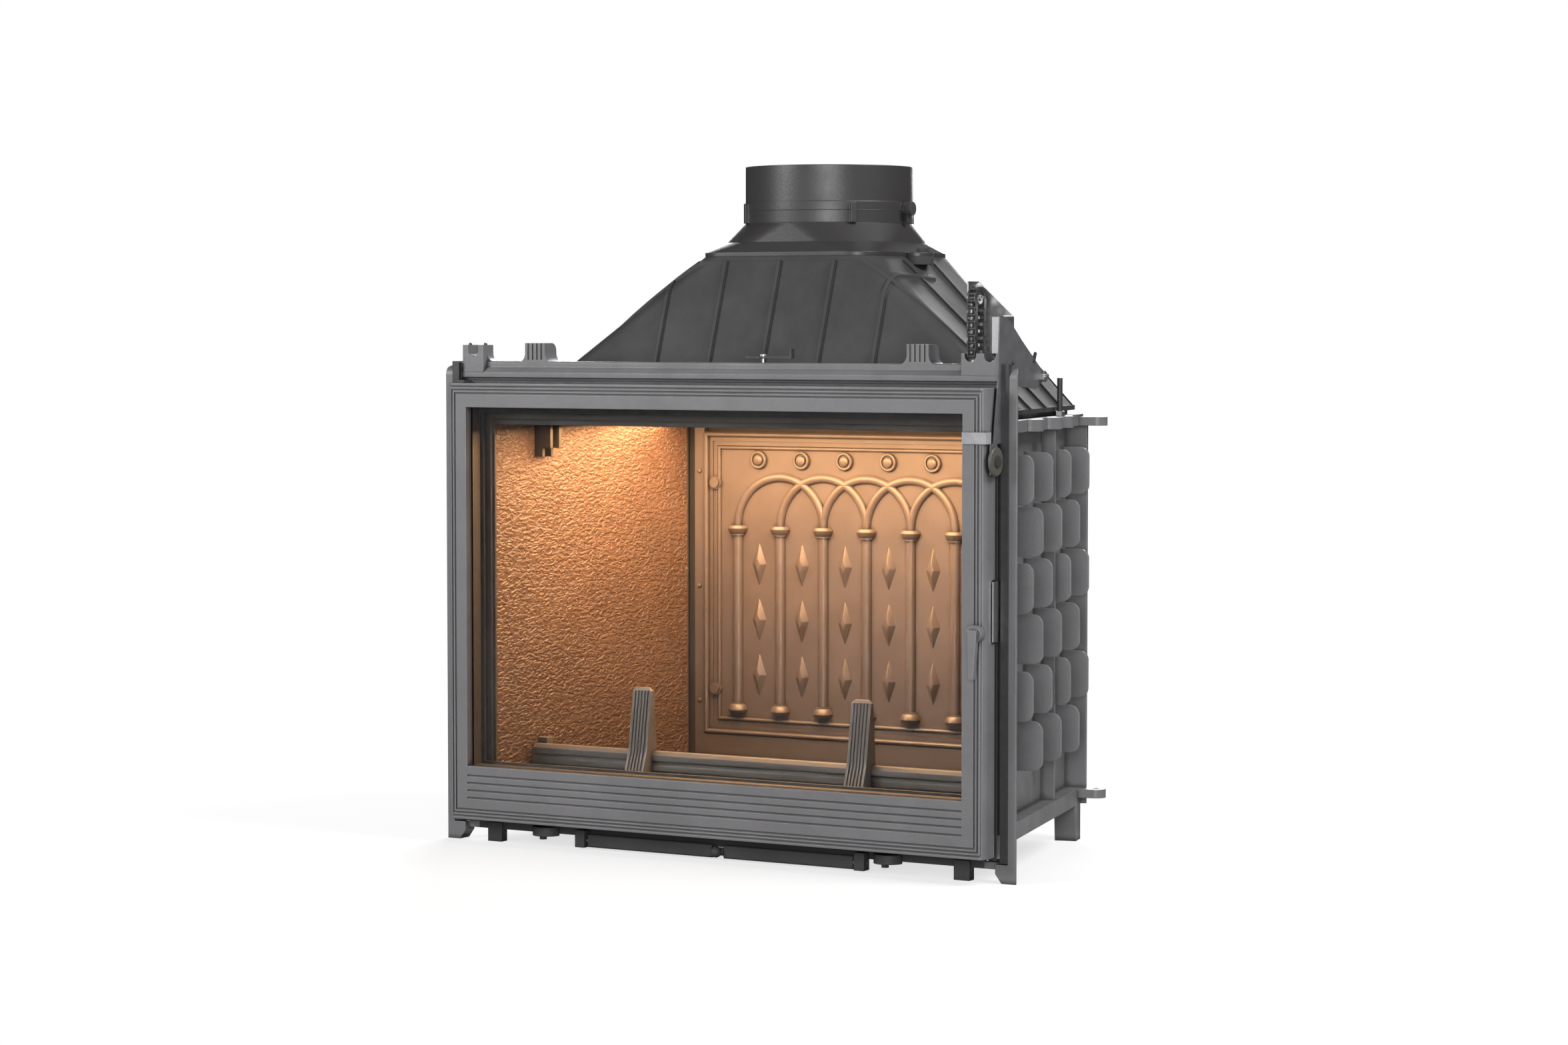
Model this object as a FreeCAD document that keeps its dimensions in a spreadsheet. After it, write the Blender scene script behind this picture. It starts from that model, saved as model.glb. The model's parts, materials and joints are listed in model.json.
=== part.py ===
"""Cast-iron fireplace insert with a glazed door that lifts on rails and swings for cleaning.

Millimetres. +X is to the right of someone facing the door, +Y goes back into the wall and +Z is up.
Lengths in Y are counted from the door's front face; origin_setback moves the whole part so that its
origin lies on the floor, under the middle of its outline.
"""
import FreeCAD, Part
import math
import os
import re
from types import SimpleNamespace

from FreeCAD import Placement, Rotation, Vector

SIZES = (
    # Door
    ("door_width", 885, "over the door's outer edges"),
    ("door_height", 643.5, "over the door's outer edges"),
    ("door_bottom", 36.5, "floor to the door's lower edge"),
    ("door_thick", 38, "front face to back face"),
    ("stile_width", 34, "upright of the door frame"),
    ("top_rail", 35, "upper bar of the door frame"),
    ("bottom_rail", 79, "lower bar of the door frame"),
    ("lip_thick", 12, "iron in front of the glass"),
    ("glass_lap", 8.5, "glass edge hidden behind the lip"),
    ("door_round", 10, "radius of the front outer edges"),
    ("hinge_round", 7, "radius of the back outer edges, about the hinge axis"),
    ("flute_width", 2.6, "one flute of the door's moulding"),
    ("flute_depth", 2, "depth of all flutes and grooves"),
    ("flute_first", 3.4, "outer edge to the first flute"),
    ("flute_pitch", 5, "flute to flute"),
    ("flute_count", 3, "flutes round the door"),
    ("groove_first", 14, "glass opening to the first groove of the lower bar"),
    ("groove_pitch", 11, "groove to groove"),
    ("groove_count", 4, "grooves of the lower bar"),
    ("gasket_thick", 2, "rope between glass and lip"),
    ("glass_thick", 4, "ceramic glass"),
    ("fit_gap", 0.3, "gap between pieces that are set in place"),
    ("seal_width", 7, "door rope"),
    ("seal_thick", 3, "door rope"),
    ("pin_radius", 3.5, "hinge pin"),
    ("pin_depth", 25, "hinge pin inside the door"),
    ("run_gap", 0.1, "radial clearance of pins and shafts"),
    ("recess_width", 16, "latch recess, in from the door's right edge"),
    ("recess_depth", 14, "latch recess, in from the door's back"),
    ("recess_drop", 15, "spindle to the latch recess's lower end"),
    ("recess_height", 87, "latch recess"),
    ("strap_width", 16, "steel strap round the right stile"),
    ("strap_drop", 76, "door's upper edge to the strap's lower edge"),
    ("strap_thick", 2, "steel strap"),
    ("strap_fold", 15, "strap's turned-back end"),
    # Handle
    ("handle_inset", 10.5, "door's right edge to the spindle"),
    ("handle_rise", 309.5, "door's lower edge to the spindle"),
    ("spindle_radius", 4.8, "handle spindle"),
    ("boss_radius", 12, "handle boss"),
    ("boss_reach", 13, "handle boss in front of the door"),
    ("lever_length", 61, "spindle to the lever's tip"),
    ("lever_width", 14, "lever at the spindle"),
    ("lever_tip", 7, "lever at its tip"),
    ("lever_thick", 9, "lever, front to back"),
    ("lever_kick", 8, "tip stands this far in front of the boss end"),
    ("cam_thick", 6, "latch cam"),
    # Lift carrier and its rails
    ("carrier_gap", 3.3, "door's back to the carrier"),
    ("carrier_thick", 4.4, "carrier plate"),
    ("carrier_inset", 0.5, "carrier's edge inside the door's edge"),
    ("carrier_lap", 3.5, "carrier overlaps the glass opening's sides"),
    ("carrier_top_lap", 8.5, "carrier overlaps the glass opening's upper edge"),
    ("carrier_drop", 5.5, "carrier's lower edge below the door"),
    ("carrier_rise", 3, "carrier's upper edge above the door"),
    ("lug_thick", 4, "hinge lug"),
    ("hinge_lug", 14.5, "hinge lug in X"),
    ("shoe_height", 32, "guide shoe"),
    ("shoe_reach", 14, "guide shoe outside the carrier"),
    ("rail_gap", 5, "door's edge to the rail"),
    ("rail_width", 11.5, "rail in X"),
    ("rail_web", 2, "rail's outer wall"),
    ("rail_flange", 1.7, "rail's front wall"),
    ("shoe_play", 0.5, "shoe to the rail's walls"),
    ("under_gap", 3, "carrier's lower edge to what lies under it"),
    ("strike_thick", 2, "latch strike"),
    ("strike_gap", 1, "door's edge to the strike"),
    ("strike_reach", 20, "strike in front of the carrier"),
    # Fixed front
    ("frame_gap", 1.3, "carrier to the fixed front"),
    ("frame_thick", 9, "fixed front plate"),
    ("frame_rise", 4, "fixed front above the door"),
    ("mouth_inset", 16.5, "glass opening's side to the firebox mouth"),
    ("mouth_drop", 7.5, "mouth's lower edge below the glass opening"),
    ("mouth_lintel", 26, "mouth's upper edge below the glass opening's"),
    ("mouth_step", 4, "stepped edge at the mouth's sides and foot"),
    ("lintel_step", 8, "stepped edge over the mouth"),
    ("bar_rise", 28, "top bar, height"),
    ("bar_groove", 4.5, "shadow groove under the top bar"),
    ("groove_setback", 5, "shadow groove, front to back"),
    ("bar_nose", 11.5, "foot of the top bar to its slope"),
    ("bar_ledge", 19.5, "foot of the top bar to the top of its slope"),
    ("bar_bevel", 2, "top bar's upper front edge"),
    ("bar_depth", 27, "top bar, front to back"),
    ("bar_setback", 9, "upper face behind the lower one"),
    ("lug_inset", 135.2, "top bar's end to the middle of a fluted lug"),
    ("lug_width", 34, "fluted lug"),
    ("lug_rise", 27, "fluted lug"),
    ("lug_depth", 32, "fluted lug, front to back"),
    ("lug_round", 12, "rounded back of a lug's top"),
    ("lug_flare", 14, "hollow fillet beside the lug"),
    ("lug_flutes", 4, "flutes of a lug"),
    ("lug_flute_pitch", 7.6, "flute to flute of a lug"),
    # Lift gear on the right
    ("plate_thick", 1.8, "grey side plate"),
    ("plate_front", 30, "side plate's front edge"),
    ("plate_foot", 17, "side plate's lower front corner"),
    ("plate_back", 65, "side plate's back edge beside the top bar"),
    ("plate_rear", 172, "side plate's rear tip above the wall"),
    ("plate_rise", 100, "side plate above the door"),
    ("plate_lean", 6, "side plate's front edge leans back"),
    ("plate_crown", 8, "fall of the side plate's top edge"),
    ("plate_shoulder", 68, "side plate's rear tip to its shoulder"),
    ("shoulder_drop", 36, "side plate's top to its shoulder"),
    ("tip_drop", 12, "top bar to the side plate's rear tip"),
    ("tip_height", 12, "side plate's rear tip"),
    ("tip_slope", 24, "length of the slope under the rear tip"),
    ("tip_foot", 7, "foot of that slope below the fixed front's top"),
    ("plate_notch", 36, "side plate's lower end to its rear corner"),
    ("plate_stud_back", 8, "side plate's rear tip to its stud"),
    ("plate_stud_drop", 18, "top bar to the stud"),
    ("plate_stud_radius", 4, "stud through the side plate"),
    ("plate_stud_end", 10.5, "stud beyond the side plate"),
    ("plate_drop", 76, "door's upper edge to the side plate's lower end"),
    ("arm_length", 42, "roller arm below the side plate"),
    ("roller_radius", 20, "closing roller"),
    ("roller_width", 5, "closing roller"),
    ("roller_chamfer", 1.2, "closing roller's edges"),
    ("roller_drop", 24, "side plate's lower end to the roller's axis"),
    ("roller_depth", 18, "door's face to the roller's axis"),
    ("axle_radius", 4, "roller axle and pulley axle"),
    ("bracket_rise", 14.5, "right chain bracket above the top bar"),
    ("left_bracket_rise", 24, "left chain bracket above the top bar"),
    ("bracket_width", 63, "right bracket"),
    ("left_bracket_width", 36, "left bracket"),
    ("bracket_flare", 12, "hollow fillet beside a bracket"),
    ("notch_radius", 9, "chain notch in a bracket"),
    ("notch_drop", 2.5, "right bracket's top to the middle of its notches"),
    ("left_notch_drop", 8, "left bracket's top to the middle of its notch"),
    ("notch_spread", 30, "between the right bracket's notches"),
    ("chain_offset", 14, "bracket's end to the chain"),
    ("chain_setback", 6, "top bar's front to the chain"),
    ("chain_spread", 26, "between the chain's front and rear runs"),
    ("chain_dip", 4, "right bracket's top to the chain's lowest joint"),
    ("channel_inset", 4, "bracket's end to the channel"),
    ("channel_width", 55, "chain channel"),
    ("channel_front", 10, "top bar's front to the chain channel"),
    ("channel_depth", 34, "chain channel"),
    ("channel_wall", 1.8, "chain channel"),
    ("outer_lip", 17, "channel's right lip"),
    ("inner_lip", 7, "channel's left lip"),
    ("channel_high", 100, "channel's left edge above the bracket"),
    ("channel_low", 50, "channel's right edge above the bracket"),
    ("link_pitch", 9.5, "chain pitch"),
    ("link_plate", 7, "height of a chain plate"),
    ("link_thick", 1.2, "chain plate"),
    ("link_inside", 9, "between the chain plates"),
    ("pulley_rise", 76, "pulley axis above the bracket"),
    # Draught lever on the top bar
    ("lever_place", 59, "middle to the draught lever's pin"),
    ("lever_bar", 76, "draught lever, over all"),
    ("lever_lift", 6, "top bar to the draught lever"),
    ("lever_bar_width", 9, "draught lever"),
    ("lever_bar_thick", 3, "draught lever"),
    ("lever_tab", 14, "upturned end of the draught lever"),
    ("lever_pivot", 28, "lever's left end to its pivot"),
    ("lever_pin", 3, "radius of the lever's pin"),
    ("pin_seat", 12, "depth of the lever pin's bore"),
    ("register_radius", 6.5, "air register disc under the lever"),
    ("register_thick", 4, "air register disc"),
    # Body castings
    ("wall_inset", 14.5, "door's edge to the body's wall at its front"),
    ("wall_angle", 12.5, "splay of the side walls, degrees"),
    ("wall_length", 454, "side wall along its run"),
    ("wall_thick", 8, "side wall"),
    ("wall_bottom", 45, "floor to the wall's lower edge"),
    ("wall_drop", 40, "door's upper edge to the wall's"),
    ("fin_reach", 42, "cooling fin"),
    ("fin_thick", 5, "cooling fin"),
    ("fin_height", 70, "cooling fin"),
    ("fin_round", 14, "cooling fin's outer corners"),
    ("fin_drop", 31, "upper ledge to the upper fins"),
    ("fin_pitch", 117, "fin to fin along the wall"),
    ("fin_first", 62, "wall's front to the first fin"),
    ("fin_row", 75.3, "row to row"),
    ("fin_rows", 6, "rows of fins"),
    ("rib_place", 290, "wall's front to the upright rib"),
    ("rib_reach", 20, "upright rib"),
    ("rib_thick", 7, "upright rib and rear flange"),
    ("flange_reach", 32, "rear flange of the side wall"),
    ("ledge_reach", 24, "ledges of the side wall"),
    ("ledge_drop", 23, "wall's upper edge to the upper ledge's underside"),
    ("ledge_rise", 8, "wall's lower edge to the lower ledge"),
    ("ledge_thick", 17, "upper ledge"),
    ("lower_ledge_thick", 24, "lower ledge"),
    ("lobe_out", 21.5, "wall's outer face to the middle of a lobe"),
    ("lobe_radius", 20, "rounded lobes of the upper ledge"),
    ("carry_lug", 34, "carrying lug beyond the rear flange"),
    ("carry_width", 30, "carrying lug"),
    ("carry_thick", 13, "carrying lug"),
    ("carry_hole", 6, "radius of the hole in a carrying lug"),
    ("jamb_gap", 0.2, "rail to the jamb"),
    ("jamb_width", 11.8, "jamb in X"),
    ("jamb_front", 40, "door's face to the jamb"),
    ("jamb_depth", 24, "jamb, front to back"),
    ("jamb_edge", 4, "jamb's square outer edge"),
    ("jamb_root", 2, "jamb in X at its back"),
    ("jamb_rise", 22, "jamb above the fixed front"),
    ("jamb_round", 14, "rounded top of the jamb"),
    ("jamb_web", 8, "web from jamb to wall"),
    ("toe_reach", 19, "toe of the front foot, inwards"),
    ("toe_height", 26, "toe of the front foot"),
    ("foot_size", 30, "rear foot"),
    ("stud_radius", 4, "side stud"),
    ("stud_root", 3.3, "side stud inside its nut"),
    ("stud_length", 48, "side stud above its nut"),
    ("nut_radius", 8, "nut on the side stud"),
    ("nut_height", 7, "nut on the side stud"),
    # Floor
    ("base_thick", 10, "base plate"),
    ("skirt_bottom", 18, "floor to the front skirt"),
    ("skirt_depth", 8.5, "front skirt"),
    ("front_foot_inset", 40, "wall's outer face to the middle of a front foot"),
    ("front_foot_width", 24, "front foot"),
    ("front_foot_depth", 15, "front foot"),
    ("back_thick", 8, "back wall"),
    ("back_rib", 6, "ribs on the back wall"),
    ("back_rib_pitch", 128, "upright rib to rib on the back wall"),
    ("back_rib_count", 4, "upright ribs on the back wall"),
    ("pillar_inset", 90, "lining to the hearth's pillars"),
    ("hearth_rise", 37, "base plate to the hearth"),
    ("hearth_thick", 10, "hearth plate"),
    ("grate_length", 300, "grate in X"),
    ("grate_depth", 180, "grate in Y"),
    ("grate_place", 265, "door's face to the grate's middle"),
    ("grate_seat", 8, "ledge under the grate's edge"),
    ("grate_thick", 6, "grate"),
    ("grate_play", 1, "gap round the grate"),
    ("slot_width", 9, "slot of the grate"),
    ("slot_pitch", 20, "slot to slot"),
    ("slot_count", 13, "slots of the grate"),
    ("pan_gap", 5, "ash pan's rim to the hearth plate"),
    ("pan_play", 1, "ash pan inside the grate's opening"),
    ("pan_wall", 1.5, "ash pan"),
    # Firebox lining
    ("liner_thick", 10, "side lining plate"),
    ("liner_gap", 5, "lining to the wall"),
    ("liner_drop", 5, "baffle to the top of the lining"),
    ("liner_front", 14, "wall's front to the lining"),
    ("liner_end", 26, "wall's rear end to the lining"),
    ("back_plate_margin", 24.9, "lining to the back plate"),
    ("back_plate_rise", 33, "hearth to the back plate"),
    ("back_plate_drop", 23, "baffle to the top of the back plate"),
    ("back_plate_thick", 13, "back plate at its moulding"),
    ("back_plate_frame", 21, "moulding of the back plate"),
    ("back_plate_sunk", 6, "panel behind the moulding"),
    ("moulding_steps", 3, "steps of the moulding"),
    ("plate_bolt_in", 19, "back plate's edge to its bolts"),
    ("plate_bolt_up", 71, "back plate's lower edge to the lower bolts"),
    ("plate_bolt_down", 80, "back plate's upper edge to the upper bolts"),
    ("plate_bolt_head", 7.5, "radius of a bolt head"),
    ("plate_bolt_rise", 4, "height of a bolt head"),
    ("plate_bolt_shank", 4, "radius of a bolt"),
    ("plate_boss", 10, "radius of the boss under a bolt"),
    ("strip_width", 17, "corner strip beside the back plate"),
    ("plinth_step", 3, "foot strip in front of the back plate"),
    ("baffle_thick", 8, "smoke baffle"),
    ("baffle_drop", 18, "wall's upper edge to the baffle"),
    ("baffle_front", 134, "door's face to the baffle"),
    ("bracket_plate", 5, "baffle bracket plate"),
    ("bracket_drop", 54, "baffle bracket, height"),
    ("bracket_out", 34, "baffle bracket, out from the lining"),
    ("bracket_step", 18, "between the two plates of a bracket"),
    # Log guard
    ("guard_gap", 4.8, "log guard's end to the lining"),
    ("guard_front", 128, "door's face to the log guard"),
    ("guard_thick", 14, "log guard bar"),
    ("guard_height", 46, "log guard bar"),
    ("guard_grooves", 2, "grooves between the bar's ridges"),
    ("guard_groove", 4, "depth of a groove"),
    ("guard_bevel", 5.5, "bevel on top of a ridge"),
    ("guard_under", 2, "underside of a ridge"),
    ("guard_end", 16, "end bracket of the bar"),
    ("post_place", 183.5, "middle to a post"),
    ("post_width", 32, "post"),
    ("post_height", 140, "post above the hearth"),
    ("post_foot", 45, "post's depth at the hearth"),
    ("post_tip", 14, "post's depth at the top"),
    ("post_cap", 5, "bevels of a post's top"),
    ("post_flutes", 5, "flutes of a post"),
    # Hood and flue
    ("hood_plate", 7, "hood's base plate"),
    ("hood_overhang", 12, "base plate's edge outside the wall's outer face"),
    ("hood_step", 1, "hood's foot inside its base plate's edge"),
    ("hood_front", 87, "base plate's front to the foot of the hood's face"),
    ("hood_wall", 6, "hood"),
    ("hood_rise", 219, "base plate to the hood's ring"),
    ("hood_corner", 26, "rounded corners at the hood's foot"),
    ("ring_half_x", 146, "ring, half width"),
    ("ring_half_y", 136, "ring, half depth"),
    ("ring_round", 40, "ring's corners"),
    ("ring_back", 145.2, "back wall's rear face to the ring's middle"),
    ("ring_thick", 6, "ring flange of the collar"),
    ("hood_rib_pitch", 91, "rib to rib"),
    ("hood_rib_count", 5, "ribs on the hood's front"),
    ("hood_rib_width", 5, "hood rib"),
    ("hood_rib_height", 5, "hood rib"),
    ("collar_radius", 125, "flue collar, outside"),
    ("collar_wall", 5, "flue collar"),
    ("collar_back", 135.2, "back wall's rear face to the flue's axis"),
    ("bell_rise", 44, "ring to the collar's straight part"),
    ("bell_waist", 0.55, "share of the bell's taper at its waist"),
    ("bell_waist_rise", 0.35, "share of the bell's height at its waist"),
    ("collar_length", 84, "collar's straight part"),
    ("collar_band", 31, "collar's foot band, up to the flue pipe's seat"),
    ("band_step", 0.6, "foot band outside the collar"),
    ("collar_rib_width", 9, "lug ribs of the collar"),
    ("collar_rib_reach", 6, "lug ribs of the collar"),
    ("collar_rib_rise", 29, "lug ribs of the collar"),
    ("collar_rib_count", 4, "lug ribs of the collar"),
    ("ring_lug", 24, "bolt lug of the ring"),
    ("ring_bolt", 5, "ring bolt"),
    ("damper_rise", 21, "collar's foot to the damper's spindle"),
    ("damper_gap", 3, "damper to the collar"),
    ("damper_thick", 4, "damper"),
    ("damper_spindle_radius", 5, "damper's spindle"),
    ("damper_knob", 10, "knob on the damper's spindle"),
    # Air flap under the door
    ("flap_half", 220, "half width of the air flap"),
    ("flap_split", 10, "middle to the inner end of a flap bar"),
    ("flap_setback", 39, "door's face to the flap's axis"),
    ("flap_height", 13, "floor to the flap's axis"),
    ("flap_tall", 19, "flap bar"),
    ("flap_thick", 8, "flap bar"),
    ("flap_shaft", 3, "flap's shaft"),
    ("flap_knob", 8, "flap's knob"),
    ("block_width", 16, "flap's bearing block"),
    ("block_gap", 4, "flap to the bearing block"),
    ("disc_left", 59, "left bearing block to the middle of the left screw disc"),
    ("disc_right", 31, "right bearing block to the middle of the right screw disc"),
    ("disc_radius", 21.5, "screw disc, a half round in front of the skirt"),
    ("disc_thick", 13, "screw disc"),
    ("disc_bolt", 6, "bolt head under a disc"),
    ("disc_bolt_rise", 5, "bolt head under a disc"),
    # Building
    ("root_lap", 0.5, "root of a pad inside the plate that carries it"),
    ("overcut", 1, "how far a cut runs past its solid"),
    ("origin_setback", 244.6, "door's face to the part's origin"),
)

doc = FreeCAD.newDocument("fireplace_insert")
sheet = doc.addObject("Spreadsheet::Sheet", "Sizes")
for row, (alias, number, note) in enumerate(SIZES, start=1):
    sheet.set(f"A{row}", note)
    sheet.set(f"B{row}", str(number))
    sheet.setAlias(f"B{row}", alias)
doc.recompute()
d = SimpleNamespace(**{alias: float(sheet.get(alias)) for alias, number, note in SIZES})

# Places that several pieces share
carrier_y = d.door_thick + d.carrier_gap
frame_y = carrier_y + d.carrier_thick + d.frame_gap
wall_y = frame_y + d.frame_thick
wall_slope = math.tan(math.radians(d.wall_angle))
wall_cos = math.cos(math.radians(d.wall_angle))
back_y = wall_y + d.wall_length * wall_cos - d.back_thick
rear_y = back_y + d.back_thick
door_half = d.door_width / 2
door_top = d.door_bottom + d.door_height
glass_half = door_half - d.stile_width
glass_low = d.door_bottom + d.bottom_rail
glass_high = door_top - d.top_rail
carrier_half = door_half - d.carrier_inset
hinge_x = -(door_half - d.hinge_round)
hinge_y = d.door_thick - d.hinge_round
handle_x = door_half - d.handle_inset
handle_z = d.door_bottom + d.handle_rise
recess_bottom = handle_z - d.recess_drop
carrier_low = d.door_bottom - d.carrier_drop
under_top = carrier_low - d.under_gap
strike_x = door_half + d.strike_gap
rail_x = door_half + d.rail_gap
plate_x = rail_x - d.plate_thick
rail_out = rail_x + d.rail_width
frame_half = plate_x - d.fit_gap
frame_top = door_top + d.frame_rise
mouth_half = glass_half - d.mouth_inset
mouth_bottom = glass_low - d.mouth_drop
mouth_top = glass_high - d.mouth_lintel
bar_top = frame_top + d.bar_rise
nose_z = frame_top + d.bar_nose
ledge_z = frame_top + d.bar_ledge
step_y = frame_y + d.bar_setback
bar_back = frame_y + d.bar_depth
bar_middle = (frame_half - rail_out) / 2
lug_place = (frame_half + rail_out) / 2 - d.lug_inset
bracket_top = bar_top + d.bracket_rise
bracket_left = frame_half - d.bracket_width
plate_bottom = door_top - d.plate_drop
plate_top = door_top + d.plate_rise
roller_z = plate_bottom - d.roller_drop
chain_x = bracket_left + d.chain_offset
chain_y = frame_y + d.chain_setback
pulley_y = chain_y + d.chain_spread / 2
pulley_z = bracket_top + d.pulley_rise
wall_half = door_half - d.wall_inset
wall_top = door_top - d.wall_drop
upper_ledge = wall_top - d.ledge_drop
lower_ledge = d.wall_bottom + d.ledge_rise
base_top = d.wall_bottom + d.base_thick
hearth_top = base_top + d.hearth_rise
hearth_low = hearth_top - d.hearth_thick
flap_end = d.flap_half + d.block_gap
baffle_z = wall_top - d.baffle_drop
liner_face = d.wall_thick + d.liner_gap + d.liner_thick
hood_foot = wall_top + d.hood_plate
hood_top = hood_foot + d.hood_rise
ring_y = rear_y - d.ring_back
collar_y = rear_y - d.collar_back
collar_foot = hood_top + d.ring_thick + d.bell_rise
damper_z = collar_foot + d.damper_rise

parts = []


def expr(text):
    """Turn aliases in a formula into cells of the sheet."""
    return re.sub(r"[a-z][a-z_]+", lambda found: "Sizes." + found.group(0), text)


def bind(item, **formulas):
    for name, formula in formulas.items():
        item.setExpression(name, expr(formula))


def keep(item, label, y="0"):
    """Name a finished sub-part and set it back so that the origin lies under the middle."""
    item.Label = label
    item.setExpression("Placement.Base.y", expr(y + " - origin_setback"))
    parts.append(item)
    return item


def piece(label, shape):
    """A sub-part whose form is worked out here."""
    item = doc.addObject("Part::Feature", label)
    item.Shape = shape
    return keep(item, label)


def group(label, solids):
    return piece(label, Part.makeCompound(solids))


def box(x_low, x_high, y_low, y_high, z_low, z_high):
    return Part.makeBox(x_high - x_low, y_high - y_low, z_high - z_low, Vector(x_low, y_low, z_low))


def rod(start, along, radius, length):
    return Part.makeCylinder(radius, length, Vector(*start), Vector(*along))


def face_of(points):
    return Part.Face(Part.makePolygon([Vector(*p) for p in points + points[:1]]))


def both_sides(shape):
    """The shape on the right and its mirror image on the left."""
    return [shape, shape.mirror(Vector(0, 0, 0), Vector(1, 0, 0))]


def beside_wall(shape):
    """From the right wall's own frame (X outwards, Y along the wall) to the part's."""
    place = Placement(Vector(wall_half, wall_y, 0), Rotation(Vector(0, 0, 1), d.wall_angle))
    return shape.transformed(place.toMatrix(), copy=True)


def inside_half(y, inset):
    """Half the width between the side walls at a depth, taken in from their outer faces."""
    return wall_half - (y - wall_y) * wall_slope - inset / wall_cos


def tapered_plate(y_low, y_high, z_low, z_high, inset):
    """A flat plate that follows the splayed walls."""
    near = inside_half(y_low, inset)
    far = inside_half(y_high, inset)
    outline = [(-near, y_low, z_low), (near, y_low, z_low), (far, y_high, z_low), (-far, y_high, z_low)]
    return face_of(outline).extrude(Vector(0, 0, z_high - z_low))


# Sketched bodies
def new_body(label):
    return keep(doc.addObject("PartDesign::Body", label), label)


def origin_plane(body, role):
    return next(item for item in body.Origin.OriginFeatures if item.Role == role)


def polygon(points):
    corners = [Vector(x, y, 0) for x, y in points]
    return [Part.LineSegment(a, b) for a, b in zip(corners, corners[1:] + corners[:1])]


def rectangle(x_low, x_high, y_low, y_high):
    return polygon([(x_low, y_low), (x_high, y_low), (x_high, y_high), (x_low, y_high)])


def circle(x, y, radius):
    return [Part.Circle(Vector(x, y, 0), Vector(0, 0, 1), radius)]


def sketch(body, name, role, outlines, offset="0"):
    """Closed outlines on one of the body's own planes, moved along that plane's normal."""
    made = body.newObject("Sketcher::SketchObject", name)
    made.AttachmentSupport = [(origin_plane(body, role), "")]
    made.MapMode = "FlatFace"
    made.setExpression("AttachmentOffset.Base.z", expr(offset))
    for outline in outlines:
        for edge in outline:
            made.addGeometry(edge, False)
    return made


def extrude(body, kind, profile, length, reverse=False):
    """Pad or Pocket; a pocket that misses the solid is an error."""
    before = body.Shape.Volume if kind == "Pocket" else 0.0
    made = body.newObject("PartDesign::" + kind, kind)
    made.Profile = profile
    made.Reversed = reverse
    bind(made, Length=length)
    doc.recompute()
    if kind == "Pocket" and before - made.Shape.Volume < 1e-6:
        raise ValueError(f"{body.Label}: {profile.Name} cuts nothing")
    return made


def pad(body, profile, length, reverse=False):
    return extrude(body, "Pad", profile, length, reverse)


def pocket(body, profile, length, reverse=False):
    return extrude(body, "Pocket", profile, length, reverse)


def fillet(body, base, picked, radius):
    """Round the edges of a feature whose middle point passes the test."""
    made = body.newObject("PartDesign::Fillet", "Fillet")
    names = [f"Edge{i}" for i, edge in enumerate(base.Shape.Edges, start=1) if picked(edge.CenterOfMass)]
    made.Base = (base, names)
    bind(made, Radius=radius)
    doc.recompute()
    return made


def turned_body(label, outline, origin, direction):
    """A body of revolution, its outline given as (radius, length along the axis)."""
    body = new_body(label)
    profile = sketch(body, label + "_profile", "XZ_Plane", [polygon(outline)])
    made = body.newObject("PartDesign::Revolution", "Revolution")
    made.Profile = profile
    made.ReferenceAxis = (profile, ["V_Axis"])
    made.Angle = 360
    body.Placement = Placement(Vector(*origin), Rotation(Vector(0, 0, 1), Vector(*direction)))
    bind(body, **{"Placement.Base.y": f"{origin[1]} - origin_setback"})
    return body


def near(value, target):
    return abs(value - target) < 0.01


# Door
def make_door_frame():
    body = new_body("door_frame")
    outer = rectangle(-door_half, door_half, d.door_bottom, door_top)
    opening = rectangle(-glass_half, glass_half, glass_low, glass_high)
    block = pad(body, sketch(body, "door_outline", "XZ_Plane", [outer, opening]), "door_thick", True)
    fillet(body, block, lambda p: near(abs(p.x), door_half) and near(p.y, 0), "door_round")
    fillet(body, body.Tip, lambda p: near(abs(p.x), door_half) and near(p.y, d.door_thick), "hinge_round")
    flutes = []
    for i in range(int(d.flute_count)):
        start = d.flute_first + i * d.flute_pitch
        for inset in (start, start + d.flute_width):
            low = d.door_bottom + inset
            flutes.append(rectangle(inset - door_half, door_half - inset, low, door_top - inset))
    for i in range(int(d.groove_count)):
        middle = glass_low - d.groove_first - i * d.groove_pitch
        half = d.flute_width / 2
        flutes.append(rectangle(-glass_half, glass_half, middle - half, middle + half))
    pocket(body, sketch(body, "flutes", "XZ_Plane", flutes), "flute_depth")
    lap = d.glass_lap
    rebate = rectangle(-glass_half - lap, glass_half + lap, glass_low - lap, glass_high + lap)
    back = "-door_thick"
    pocket(body, sketch(body, "glass_rebate", "XZ_Plane", [rebate], back), "door_thick - lip_thick", True)
    recess_top = recess_bottom + d.recess_height
    recess = rectangle(door_half - d.recess_width, door_half + d.overcut, recess_bottom, recess_top)
    pocket(body, sketch(body, "latch_recess", "XZ_Plane", [recess], back), "recess_depth", True)
    spindle = circle(handle_x, handle_z, d.spindle_radius + d.run_gap)
    pocket(body, sketch(body, "spindle_bore", "XZ_Plane", [spindle]), "door_thick")
    hinge = circle(hinge_x, hinge_y, d.pin_radius + d.run_gap)
    upper = sketch(body, "upper_bore", "XY_Plane", [hinge], "door_bottom + door_height")
    pocket(body, upper, "pin_depth + fit_gap")
    pocket(body, sketch(body, "lower_bore", "XY_Plane", [hinge], "door_bottom"), "pin_depth + fit_gap", True)


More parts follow.
